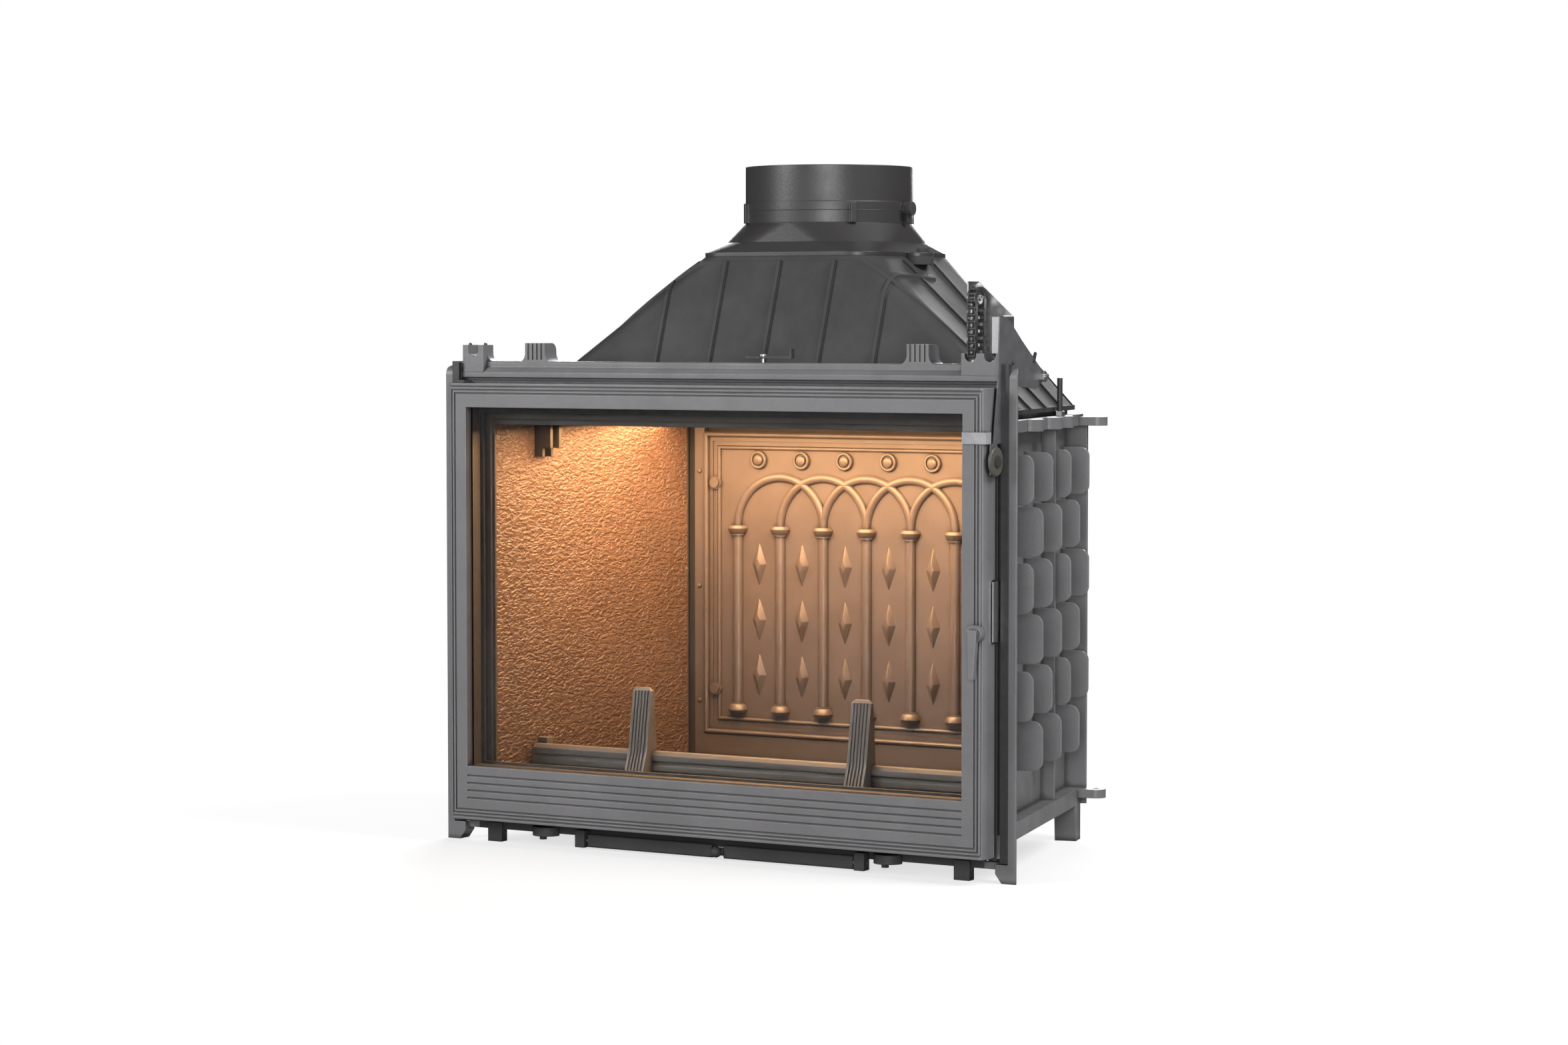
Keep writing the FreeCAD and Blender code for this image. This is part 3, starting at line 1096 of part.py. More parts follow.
def make_back():
    half = inside_half(rear_y, d.wall_thick + d.fit_gap)
    wall = box(-half, half, back_y, rear_y, d.wall_bottom, wall_top)
    ribs = []
    rib_end = rear_y + d.back_rib
    for i in range(int(d.back_rib_count)):
        x = (i - (d.back_rib_count - 1) / 2) * d.back_rib_pitch - d.rib_thick / 2
        ribs.append(box(x, x + d.rib_thick, rear_y, rib_end, lower_ledge, upper_ledge))
    for z in (lower_ledge, upper_ledge - d.rib_thick, (lower_ledge + upper_ledge) / 2):
        ribs.append(box(-half, half, rear_y, rib_end, z, z + d.rib_thick))
    shape = wall.fuse(ribs)
    shank = d.plate_bolt_shank
    face = back_y - d.fit_gap - d.back_plate_thick
    x_half = inside_half(face, liner_face) - d.back_plate_margin
    low = hearth_top + d.back_plate_rise
    high = baffle_z - d.back_plate_drop
    bolt_x = x_half - d.plate_bolt_in
    places = [(x, z) for x in (-bolt_x, bolt_x) for z in (low + d.plate_bolt_up, high - d.plate_bolt_down)]
    for x, z in places:
        shape = shape.cut(rod((x, back_y, z), (0, 1, 0), shank, d.back_thick / 2))
    piece("back_wall", shape.removeSplitter())
    body = new_body("back_plate")
    outline = rectangle(-x_half, x_half, low, high)
    start = str(-face)
    pad(body, sketch(body, "back_outline", "XZ_Plane", [outline], start), "back_plate_thick", True)
    for i in range(1, int(d.moulding_steps) + 1):
        inset = i * d.back_plate_frame / d.moulding_steps
        panel = rectangle(inset - x_half, x_half - inset, low + inset, high - inset)
        profile = sketch(body, f"panel_{i}", "XZ_Plane", [panel], start)
        pocket(body, profile, f"{i} * back_plate_sunk / moulding_steps")
    bosses = [circle(x, z, d.plate_boss) for x, z in places]
    pad(body, sketch(body, "bosses", "XZ_Plane", bosses, start), "back_plate_sunk + root_lap", True)
    holes = [circle(x, z, shank + d.run_gap) for x, z in places]
    pocket(body, sketch(body, "bolt_holes", "XZ_Plane", holes, start), "back_plate_thick")
    bolts = []
    for x, z in places:
        head = rod((x, face - d.plate_bolt_rise, z), (0, 1, 0), d.plate_bolt_head, d.plate_bolt_rise)
        length = back_y + d.back_thick / 2 - face
        bolts.append(head.fuse(rod((x, face, z), (0, 1, 0), shank, length)).removeSplitter())
    group("back_plate_bolts", bolts)
    inner = x_half + d.fit_gap
    strip = box(inner, inner + d.strip_width, face, back_y, hearth_top, baffle_z)
    plinth = box(-x_half, x_half, face - d.plinth_step, back_y, hearth_top, low - d.fit_gap)
    group("corner_strips", both_sides(strip) + [plinth])


def make_lining():
    high = -(d.wall_thick + d.liner_gap)
    rear = d.wall_length - d.liner_end
    plate = box(high - d.liner_thick, high, d.liner_front, rear, hearth_top, baffle_z - d.liner_drop)
    right, left = both_sides(beside_wall(plate))
    piece("right_liner", right)
    piece("left_liner", left)
    along = (d.baffle_front - wall_y) / wall_cos + d.bracket_step
    plates = []
    for start in (along, along + d.bracket_step):
        low = baffle_z - d.bracket_drop
        tip = -liner_face - d.bracket_out
        end = start + d.bracket_plate
        arm = box(tip, -liner_face, start, end, low, baffle_z)
        notch = box(tip, tip + d.bracket_out / 2, start, end, low, low + d.bracket_drop / 4)
        plates.append(beside_wall(arm.cut(notch)))
    group("baffle_brackets", [solid for plate in plates for solid in both_sides(plate)])
    rear = back_y - d.fit_gap
    top = baffle_z + d.baffle_thick
    baffle = tapered_plate(d.baffle_front, rear, baffle_z, top, d.wall_thick + d.liner_gap)
    piece("baffle_plate", baffle)


# Log guard
def make_log_guard():
    body = new_body("log_guard_bar")
    low = hearth_top + d.fit_gap
    high = hearth_top + d.guard_height
    front = d.guard_front
    back = front + d.guard_thick
    half = inside_half(back + d.guard_end, liner_face) - d.guard_gap
    ridge = (high - low) / (d.guard_grooves + 1)
    deep = front + d.guard_groove
    points = [(front, low)]
    for i in range(int(d.guard_grooves)):
        z = low + (i + 1) * ridge
        points += [(front, z - d.guard_bevel), (deep, z), (front, z + d.guard_under)]
    points += [(front, high - d.guard_bevel), (deep, high), (back, high), (back, low)]
    bar = sketch(body, "guard_profile", "YZ_Plane", [polygon(points)], str(-half))
    pad(body, bar, str(2 * half))
    ends = []
    for side in (-1, 1):
        x = side * (half - d.guard_end / 2)
        half_end = d.guard_end / 2
        ends.append(rectangle(x - half_end, x + half_end, back - d.root_lap, back + d.guard_end))
    foot = "wall_bottom + base_thick + hearth_rise + fit_gap"
    pad(body, sketch(body, "guard_ends", "XY_Plane", ends, foot), "guard_height + guard_end / 2")
    front_foot = front - (d.post_foot - d.post_tip)
    top = hearth_top + d.post_height
    notch_y = front - d.run_gap
    notch_z = high + d.run_gap
    cap = d.post_cap
    knee = (front - d.post_tip, high + d.fit_gap)
    shoulder = (front, top - cap)
    tip_back = front + d.post_tip / 2
    outline = [(front_foot, low), (notch_y, low), (notch_y, notch_z), (front + d.post_tip, notch_z),
               (tip_back, top - cap), (tip_back - cap / 2, top), (front + cap / 2, top), shoulder, knee]
    post = face_of([(0, y, z) for y, z in outline]).extrude(Vector(d.post_width, 0, 0))
    face = [(0, low), (d.post_width, low), (d.post_width, top - cap), (d.post_width - cap, top), (cap, top),
            (0, top - cap)]
    face = face_of([(x, front_foot, z) for x, z in face])
    post = post.common(face.extrude(Vector(0, d.post_foot + d.post_tip, 0)))
    posts = []
    front_line = [(front_foot, low), knee, shoulder]
    cutter = [(y - d.overcut, z) for y, z in front_line]
    cutter += [(y + d.flute_depth, z) for y, z in front_line[::-1]]
    for i in range(int(d.post_flutes)):
        x = (i + 1) * d.post_width / (d.post_flutes + 1) - d.flute_width / 2
        post = post.cut(face_of([(x, y, z) for y, z in cutter]).extrude(Vector(d.flute_width, 0, 0)))
    for x in (-d.post_place, d.post_place):
        moved = post.copy()
        moved.translate(Vector(x - d.post_width / 2, 0, 0))
        posts.append(moved)
    group("log_guard_posts", posts)


# Hood and flue
def rounded_outline(corners, radius, z):
    """Edges of a four-cornered outline with round corners, from the front edge on, anticlockwise."""
    points = [Vector(x, y, z) for x, y in corners]
    count = len(points)
    starts, ends, mids = [], [], []
    for i, corner in enumerate(points):
        to_last = (points[i - 1] - corner).normalize()
        to_next = (points[(i + 1) % count] - corner).normalize()
        half = to_last.getAngle(to_next) / 2
        starts.append(corner + to_last * (radius / math.tan(half)))
        ends.append(corner + to_next * (radius / math.tan(half)))
        middle = (to_last + to_next).normalize()
        mids.append(corner + middle * (radius / math.sin(half) - radius))
    edges = []
    for i in range(count):
        follow = (i + 1) % count
        edges.append(Part.LineSegment(ends[i], starts[follow]).toShape())
        edges.append(Part.Arc(starts[follow], mids[follow], ends[follow]).toShape())
    return Part.Wire(edges)


def oblong(half_x, half_y, middle_y, radius, z):
    corners = [(-half_x, middle_y - half_y), (half_x, middle_y - half_y), (half_x, middle_y + half_y),
               (-half_x, middle_y + half_y)]
    return rounded_outline(corners, radius, z)


def hood_solid(grow):
    """The hood's tapering form, grown or shrunk all round."""
    y_low = wall_y + d.hood_front - grow
    y_high = rear_y + (grow - d.hood_wall) / 2
    inset = d.hood_step - d.hood_overhang - grow
    near_half = inside_half(y_low, inset)
    far_half = inside_half(y_high, inset)
    corners = [(-near_half, y_low), (near_half, y_low), (far_half, y_high), (-far_half, y_high)]
    low = rounded_outline(corners, d.hood_corner + grow, hood_foot)
    high = oblong(d.ring_half_x + grow, d.ring_half_y + grow, ring_y, d.ring_round + grow, hood_top)
    return Part.makeLoft([low, high], True, True)


def make_hood():
    outer = hood_solid(0)
    slabs = []
    half = d.hood_rib_width / 2
    rib_top = hood_top - d.ring_thick
    for i in range(int(d.hood_rib_count)):
        x = (i - (d.hood_rib_count - 1) / 2) * d.hood_rib_pitch
        slabs.append(box(x - half, x + half, wall_y, ring_y, hood_foot, rib_top))
    for i in range(int(d.hood_rib_count) - 1):
        y = ring_y + (i - (d.hood_rib_count - 2) / 2) * d.hood_rib_pitch
        slabs.append(box(-wall_half, wall_half, y - half, y + half, hood_foot, rib_top))
    ribs = hood_solid(d.hood_rib_height).common(slabs[0].fuse(slabs[1:]))
    ribs = ribs.common(box(-wall_half, wall_half, wall_y, rear_y, hood_foot, hood_top))
    plate = tapered_plate(wall_y + d.fit_gap, rear_y, wall_top, hood_foot, -d.hood_overhang)
    inner = hood_solid(-d.hood_wall)
    mouth_y = wall_y + d.hood_front + 2 * d.hood_wall
    mouth = tapered_plate(mouth_y, back_y - d.hood_wall, wall_top, hood_foot, d.wall_thick + d.hood_corner)
    lug_low = hood_top - 2 * d.ring_thick
    lug_x = d.ring_half_x + d.ring_lug / 3
    lugs = both_sides(rod((lug_x, ring_y, lug_low), (0, 0, 1), d.ring_lug, 2 * d.ring_thick))
    shape = outer.fuse([plate, ribs] + lugs).cut([inner, mouth])
    bolt = rod((ring_bolt_x(), ring_y, lug_low), (0, 0, 1), d.ring_bolt, 2 * d.ring_thick)
    piece("hood_lower", shape.cut(both_sides(bolt)).removeSplitter())


def ring_bolt_x():
    return d.ring_half_x + d.ring_lug / 2 + d.ring_bolt


def bell_solid(shrink):
    """The flare from the ring's oblong to the round collar, and the collar itself."""
    ring_z = hood_top + d.ring_thick
    radius = d.collar_radius - shrink
    sections = []
    waist_z = ring_z + d.bell_waist_rise * d.bell_rise
    for share, z in ((0, ring_z), (d.bell_waist, waist_z), (1, collar_foot)):
        half_x = d.ring_half_x - shrink + share * (d.collar_radius - d.ring_half_x)
        half_y = d.ring_half_y - shrink + share * (d.collar_radius - d.ring_half_y)
        middle = ring_y + share * (collar_y - ring_y)
        corner = d.ring_round - shrink / 2 + share * (radius - d.run_gap - d.ring_round + shrink / 2)
        sections.append(oblong(half_x, half_y, middle, corner, z))
    bell = Part.makeLoft(sections, True, True)
    pipe = rod((0, collar_y, collar_foot), (0, 0, 1), radius, d.collar_length)
    flat = oblong(d.ring_half_x - shrink, d.ring_half_y - shrink, ring_y, d.ring_round - shrink / 2, hood_top)
    flange = Part.Face(flat).extrude(Vector(0, 0, d.ring_thick))
    return bell.fuse([pipe, flange])


def make_collar():
    radius = d.collar_radius
    band = rod((0, collar_y, collar_foot), (0, 0, 1), radius + d.band_step, d.collar_band)
    centre = Vector(0, collar_y, collar_foot)
    half = d.collar_rib_width / 2
    details = [band]
    for i in range(int(d.collar_rib_count)):
        rib = box(radius - d.collar_wall / 2, radius + d.collar_rib_reach, -half, half, 0, d.collar_rib_rise)
        rib.rotate(Vector(0, 0, 0), Vector(0, 0, 1), (i + 0.5) * 360 / d.collar_rib_count)
        rib.translate(centre)
        details.append(rib)
    lug_x = d.ring_half_x + d.ring_lug / 3
    details += both_sides(rod((lug_x, ring_y, hood_top), (0, 0, 1), d.ring_lug, d.ring_thick))
    boss_reach = d.collar_wall + d.collar_rib_reach
    boss_start = (radius - d.collar_wall, collar_y, damper_z)
    details.append(rod(boss_start, (1, 0, 0), 2 * d.damper_spindle_radius, boss_reach))
    shape = bell_solid(0).fuse(details).cut(bell_solid(d.collar_wall))
    bore = d.damper_spindle_radius + d.run_gap
    shape = shape.cut(rod((-2 * radius, collar_y, damper_z), (1, 0, 0), bore, 4 * radius))
    low = hood_top - 2 * d.ring_thick
    shank = rod((ring_bolt_x(), ring_y, low), (0, 0, 1), d.ring_bolt, 3 * d.ring_thick)
    head = hexagon(2 * d.ring_bolt, d.ring_thick, (ring_bolt_x(), ring_y, hood_top + d.ring_thick))
    piece("hood_collar", shape.cut(both_sides(shank)).removeSplitter())
    group("ring_bolts", both_sides(shank.fuse(head).removeSplitter()))


def make_damper():
    radius = d.collar_radius - d.collar_wall - d.damper_gap
    y, z = collar_y, damper_z
    disc = rod((0, y, z - d.damper_thick / 2), (0, 0, 1), radius, d.damper_thick)
    left_end = -(d.collar_radius - d.damper_gap / 2)
    right_end = d.collar_radius + 2 * d.collar_rib_reach
    spindle = rod((left_end, y, z), (1, 0, 0), d.damper_spindle_radius, right_end - left_end)
    piece("damper_plate", disc)
    piece("damper_spindle", spindle.cut(disc))
    start = d.collar_radius + d.collar_rib_reach + d.fit_gap
    half = d.damper_knob / 3
    knob = rod((start, y, z), (1, 0, 0), d.damper_knob, d.damper_knob)
    lever = box(start, d.collar_radius + d.damper_knob, y - half, y + half, z - 2 * d.damper_knob, z)
    piece("damper_knob", knob.fuse(lever).cut(spindle).removeSplitter())


# Air flap under the door
def make_air_flap():
    y, z = d.flap_setback, d.flap_height
    bars = []
    for low in (-d.flap_half, d.flap_split):
        bar = box(low, low + d.flap_half - d.flap_split, y - d.flap_thick / 2, y + d.flap_thick / 2,
                  z - d.flap_tall / 2, z + d.flap_tall / 2)
        long_edges = [edge for edge in bar.Edges if near(edge.Length, d.flap_half - d.flap_split)]
        bar = bar.makeFillet(d.flap_thick / 3, long_edges)
        bars.append(bar.cut(rod((low - d.overcut, y, z), (1, 0, 0), d.flap_shaft, d.flap_half)))
    group("flap_bars", bars)
    end = flap_end + d.block_width - d.block_gap / 2
    piece("flap_shaft", rod((-end, y, z), (1, 0, 0), d.flap_shaft, 2 * end))
    knob = Part.makeSphere(d.flap_knob, Vector(0, y - d.flap_thick, z))
    stem = rod((0, y, z), (0, -1, 0), d.flap_shaft, d.flap_thick)
    hub = rod((-d.flap_split + d.fit_gap, y, z), (1, 0, 0), 2 * d.flap_shaft, 2 * (d.flap_split - d.fit_gap))
    shaft = rod((-d.flap_half, y, z), (1, 0, 0), d.flap_shaft, 2 * d.flap_half)
    piece("flap_knob", hub.fuse([knob, stem]).cut(shaft).removeSplitter())
    skirt_y = wall_y - d.skirt_depth
    block = box(flap_end, flap_end + d.block_width, y - d.flap_thick, skirt_y, d.flap_shaft, under_top)
    block = block.cut(rod((flap_end, y, z), (1, 0, 0), d.flap_shaft + d.run_gap, d.block_width))
    group("flap_blocks", both_sides(block))
    discs = []
    bolts = []
    radius = d.disc_radius
    disc_low = under_top - d.disc_thick
    block_end = flap_end + d.block_width
    for x in (-block_end - d.disc_left, block_end + d.disc_right):
        disc = rod((x, skirt_y, disc_low), (0, 0, 1), radius, d.disc_thick)
        discs.append(disc.common(box(x - radius, x + radius, skirt_y - radius, skirt_y, disc_low, under_top)))
        bolts.append(hexagon(d.disc_bolt, d.disc_bolt_rise,
                             (x, skirt_y - radius / 2, disc_low - d.disc_bolt_rise)))
    group("screw_discs", discs)
    group("disc_bolts", bolts)


def check_and_write():
    """Refuse a failed object or an empty shape, then write one file for each sub-part."""
    doc.recompute()
    for item in doc.Objects:
        if "Invalid" in item.State or "Error" in item.State:
            raise ValueError(f"{item.Label} failed: {item.State}")
    os.makedirs("parts", exist_ok=True)
    for item in parts:
        if item.Shape.isNull() or not item.Shape.isValid() or item.Shape.Volume <= 0:
            raise ValueError(f"{item.Label} has no sound shape")
        item.Shape.exportStep(f"parts/{item.Label}.step")


def main():
    make_door_frame()
    make_door_fittings()
    make_handle()
    make_carrier()
    make_rails()
    make_front_frame()
    make_top_bar()
    make_draught_lever()
    make_side_plate()
    make_chain_gear()
    make_sides()
    make_floor()
    make_grate()
    make_back()
    make_lining()
    make_log_guard()
    make_hood()
    make_collar()
    make_damper()
    make_air_flap()
    check_and_write()


main()
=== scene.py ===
"""Finishes, back-plate ornament, small trim and studio for a cast-iron fireplace insert."""
import json
import math

import bmesh
import bpy
from bpy.props import FloatProperty, FloatVectorProperty, IntProperty, PointerProperty
from mathutils import Matrix, Vector


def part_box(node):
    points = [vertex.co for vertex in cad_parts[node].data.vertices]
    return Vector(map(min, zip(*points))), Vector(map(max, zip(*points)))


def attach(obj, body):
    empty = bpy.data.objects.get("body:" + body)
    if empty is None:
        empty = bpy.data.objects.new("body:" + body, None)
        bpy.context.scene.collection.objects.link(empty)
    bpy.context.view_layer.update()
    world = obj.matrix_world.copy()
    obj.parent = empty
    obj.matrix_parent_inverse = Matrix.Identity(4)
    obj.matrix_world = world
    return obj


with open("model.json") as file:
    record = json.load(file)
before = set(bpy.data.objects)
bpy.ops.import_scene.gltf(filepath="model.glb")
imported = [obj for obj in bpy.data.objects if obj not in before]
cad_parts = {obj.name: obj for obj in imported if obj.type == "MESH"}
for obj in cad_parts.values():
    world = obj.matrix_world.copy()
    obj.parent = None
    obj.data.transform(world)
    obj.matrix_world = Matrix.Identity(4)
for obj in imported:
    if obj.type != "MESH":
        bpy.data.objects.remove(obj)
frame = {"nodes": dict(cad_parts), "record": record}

bl_info = {
    "name": "Fireplace Insert",
    "version": (1, 0, 0),
    "blender": (4, 5, 0),
    "location": "3D View > Sidebar > Insert",
    "description": "Gives the fireplace insert its finishes, ornament, trim and studio",
    "category": "Object",
}

NODES = frame["nodes"]
SLOT_OF = {part["node"]: part["material_slot"] for part in frame["record"]["subparts"]}
COLLAR = next(mount for mount in frame["record"]["mounts"] if mount["name"] == "flue_collar")
PLATE_LOW, PLATE_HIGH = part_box("back_plate")

# CAD nodes whose finish isn't that of their slot
RAW_IRON = ["grate", "hearth_plate", "base_plate", "flap_bars", "flap_knob", "flap_blocks", "screw_discs",
            "damper_plate", "damper_knob", "back_wall"]
LOG_GUARD = ["log_guard_bar", "log_guard_posts"]
LINERS = ["left_liner", "right_liner"]

# Turns for a piece that is modelled upright
FACING = {
    "up": Matrix.Identity(4),
    "front": Matrix.Rotation(math.pi / 2, 4, "X"),
    "back": Matrix.Rotation(-math.pi / 2, 4, "X"),
    "right": Matrix.Rotation(math.pi / 2, 4, "Y"),
}

# Each lamp's name, place, aim, and width and height
LAMPS = (
    ("key", (-2.3, -3.3, 2.0), (0, 0, 0.45), (1.5, 1.5)),
    ("front", (2.2, -4.2, 0.9), (0.1, 0, 0.4), (1.6, 1.6)),
    ("fill", (2.4, 0.1, 3.0), (0.2, 0, 0.6), (1.4, 1.6)),
    ("rear", (-1.6, 3.8, 2.2), (0, 0, 0.5), (2.2, 2.2)),
    ("glow", (-0.04, 0.0, 0.614), (-0.04, 0.01, 0), (0.6, 0.34)),
)
FIRE_COLOR = (1.0, 0.56, 0.26)
WHITE = (1, 1, 1, 1)

CAMERA_PLACE = (2.665, -4.6896, 0.766)
CAMERA_PITCH = math.radians(86.91)
CAMERA_YAW = math.radians(29.7)
CAMERA_LENS = 84.18
CAMERA_SENSOR = 36.0


def tone(name, note, default):
    return FloatVectorProperty(name=name, description=note, default=default, size=3, subtype="COLOR",
                               min=0, max=1)


def length(name, note, default):
    return FloatProperty(name=name, description=note, default=default, unit="LENGTH", subtype="DISTANCE",
                         precision=4)


def strength(name, note, default):
    return FloatProperty(name=name, description=note, default=default, min=0)


class InsertFinishes(bpy.types.PropertyGroup):
    iron: tone("Iron", "Painted castings of the door, front and sides", (0.118, 0.116, 0.12))
    hood: tone("Hood", "Raw castings of the hood, floor and back", (0.038, 0.0365, 0.0366))
    # dark tone: painted shade on the frame round the fire, which lies in shade behind the door; also the
    # darkened brackets under the baffle
    shade_and_soot: tone("Shade And Soot", "Frame round the fire and brackets under the baffle", (0.03, 0.028, 0.0275))
    # log guard darker than the door's iron, partly as painted shade behind the glass
    guard: tone("Guard", "Log guard behind the glass", (0.072, 0.069, 0.067))
    collar: tone("Collar", "Blacked casting of the bell and collar", (0.025, 0.0235, 0.0235))
    lining: tone("Lining", "Hammered lining plates", (0.108, 0.067, 0.048))
    plate: tone("Back Plate", "Smooth back plate and its ornament", (0.095, 0.08, 0.075))
    steel: tone("Steel", "Zinc-plated steel", (0.4, 0.4, 0.405))
    black: tone("Black Steel", "Blackened steel", (0.025, 0.025, 0.026))
    grey: tone("Grey Paint", "Painted sheet of the lift gear", (0.075, 0.075, 0.08))
    strap: tone("Strap", "Painted strap round the door's stile", (0.26, 0.26, 0.27))
    rope: tone("Rope", "Glass rope of the seals", (0.04, 0.038, 0.036))
    roller: tone("Roller", "Moulded roller", (0.06, 0.055, 0.045))
    grain: length("Casting Grain", "Size of the sand grain", 0.0016)
    hammer: length("Hammer Marks", "Height of the marks on the lining", 0.0046)
    hammer_depth: length("Hammer Depth", "Depth of the marks on the lining", 0.0015)
    # width of the rounded edges that get wear and a painted highlight
    edge: length("Edge Highlight And Wear", "Width of the worn and highlit edges", 0.0018)


class OrnamentSizes(bpy.types.PropertyGroup):
    rim: length("Rim", "Height of the bead round the plate's edge", 0.0055)
    rim_inset: length("Rim Inset", "Plate's edge to the middle of that bead", 0.004)
    rim_inner: length("Inner Rim", "Height of the bead round the sunk panel", 0.0045)
    rim_inner_inset: length("Inner Rim Inset", "Plate's edge to the middle of the inner bead", 0.0245)
    panel: length("Panel", "Plate's front to its sunk panel", 0.006)
    sink: length("Sink", "How far the arcade's back lies in the panel", 0.0005)
    moulding: length("Moulding", "Width of the plate's moulding", 0.021)
    columns: IntProperty(name="Columns", description="Columns of the arcade", default=7, min=3)
    pitch: length("Pitch", "Column to column", 0.076)
    shaft: length("Shaft", "Radius of a column", 0.0085)
    foot: length("Foot", "Panel's lower edge to the columns", 0.03)
    tall: length("Height", "Columns without their arches", 0.262)
    lozenge: length("Lozenge", "Width of a lozenge between two columns", 0.026)
    lozenge_tall: length("Lozenge Height", "Height of a lozenge", 0.072)
    lozenge_rise: length("Lozenge Relief", "How far a lozenge stands out", 0.008)
    boss: length("Boss", "Radius of the bosses above the arches", 0.014)
    boss_rise: length("Boss Height", "Bosses above the top of the columns and one pitch", 0.042)


class TrimSizes(bpy.types.PropertyGroup):
    screw: length("Screw Head", "Radius of the small screw heads", 0.0026)
    bracket_in: length("Bracket Inset", "Bracket's end to its first head", 0.0045)
    bracket_pitch: length("Bracket Pitch", "Head to head on the bracket", 0.027)
    plate_in: length("Side Plate Inset", "Side plate's front to its heads", 0.066)
    plate_drop: length("Side Plate Drop", "Side plate's top to its upper head", 0.066)
    plate_pitch: length("Side Plate Pitch", "Head to head on the side plate", 0.013)
    strip_in: length("Strip Inset", "Corner strip's outer edge to its heads", 0.0085)
    strip_face: length("Strip Face", "Corner strip's front to the face that carries the heads", 0.003)
    back_screw: length("Back Screw", "Radius of the heads on the back", 0.006)
    back_in: length("Back Inset", "Back wall's side to its heads", 0.022)
    back_low: length("Back Foot", "Back wall's lower edge to its heads", 0.02)
    back_drop: length("Back Drop", "Back wall's upper edge to its heads", 0.014)
    back_rib: length("Back Rib", "Height of the back wall's ribs", 0.006)
    bead: length("Collar Bead", "Half the width of the seam round the flue collar", 0.0011)
    bead_place: length("Bead Height", "Floor to the seam round the flue collar", 0.934)
    clip: length("Clip", "Length of the clip on the side plate's sloping edge", 0.016)
    clip_width: length("Clip Width", "Width of the clip", 0.0055)
    clip_over: length("Clip Overhang", "How much thicker than the side plate the clip is", 0.003)
    clip_round: length("Clip Round", "Rounding of the clip's edges", 0.0007)
    clip_in: length("Clip Inset", "Side plate's rear tip to the clip", 0.029)
    clip_drop: length("Clip Drop", "Side plate's top to the clip", 0.061)
    clip_rise: length("Clip Rise", "How far the clip stands out of the edge", 0.002)
    clip_slope: FloatProperty(name="Clip Slope", description="Slope of the edge under the clip",
                              default=math.radians(-32.9), unit="ROTATION", subtype="ANGLE")


class StudioSettings(bpy.types.PropertyGroup):
    key: strength("Key", "Power of the large lamp at the front left", 120)
    front: strength("Front", "Power of the lamp at the front right", 160)
    fill: strength("Fill", "Power of the lamp above the right side", 120)
    rear: strength("Rear", "Power of the lamp behind the insert", 260)
    glow: strength("Glow", "Power of the lamp inside the firebox", 18)
    sky: strength("Sky", "Strength of the soft light all round", 0.07)
    floor: FloatProperty(name="Floor", description="White of the floor beside the insert", default=0.7,
                         min=0, max=1)


# Nodes of materials and groups
class Board:
    """Adds nodes to one tree; an input is given as a value or as the socket that feeds it."""

    def __init__(self, tree):
        self.tree = tree
        tree.nodes.clear()

    def feed(self, socket, value):
        if isinstance(value, bpy.types.NodeSocket):
            self.tree.links.new(value, socket)
        else:
            socket.default_value = value

    def add(self, kind, inputs=None, **settings):
        node = self.tree.nodes.new(kind)
        for name, value in settings.items():
            setattr(node, name, value)
        for name, value in (inputs or {}).items():
            self.feed(node.inputs[name], value)
        return node

    def math(self, operation, a, b=0.0):
        return self.add("ShaderNodeMath", {0: a, 1: b}, operation=operation).outputs[0]

    def mix(self, factor, a, b):
        """A mix of two colours; the colour mode's sockets are found by their number."""
        node = self.add("ShaderNodeMix", data_type="RGBA")
        for index, value in ((0, factor), (6, a), (7, b)):
            self.feed(node.inputs[index], value)
        return node.outputs[2]

    def toward(self, base, target, mask, share):
        """The base colour, drawn by a share toward a target where the mask is 1."""
        return self.mix(self.math("MULTIPLY", mask, share), base, target)

    def ramp(self, value, low, high, to_low=0.0, to_high=1.0, smooth=False):
        node = self.add("ShaderNodeMapRange", {"Value": value, "From Min": low, "From Max": high,
                                               "To Min": to_low, "To Max": to_high})
        node.interpolation_type = "SMOOTHSTEP" if smooth else "LINEAR"
        return node.outputs["Result"]

    def noise(self, place, scale, **more):
        inputs = {"Vector": place, "Scale": scale}
        inputs.update({name.capitalize(): value for name, value in more.items()})
        return self.add("ShaderNodeTexNoise", inputs).outputs[0]

    def object_place(self):
        return self.add("ShaderNodeTexCoord").outputs["Object"]


def open_group(name, inputs, outputs):
    """A new node group with float inputs and the named outputs."""
    group = bpy.data.node_groups.new(name, "ShaderNodeTree")
    for label, default in inputs:
        socket = group.interface.new_socket(label, in_out="INPUT", socket_type="NodeSocketFloat")
        socket.default_value = default
    for label, kind in outputs:
        group.interface.new_socket(label, in_out="OUTPUT", socket_type="NodeSocket" + kind)
    board = Board(group)
    return board, board.add("NodeGroupInput").outputs, board.add("NodeGroupOutput")


def close_group(board, result, values):
    for label, value in values.items():
        board.tree.links.new(value, result.inputs[label])
    return board.tree


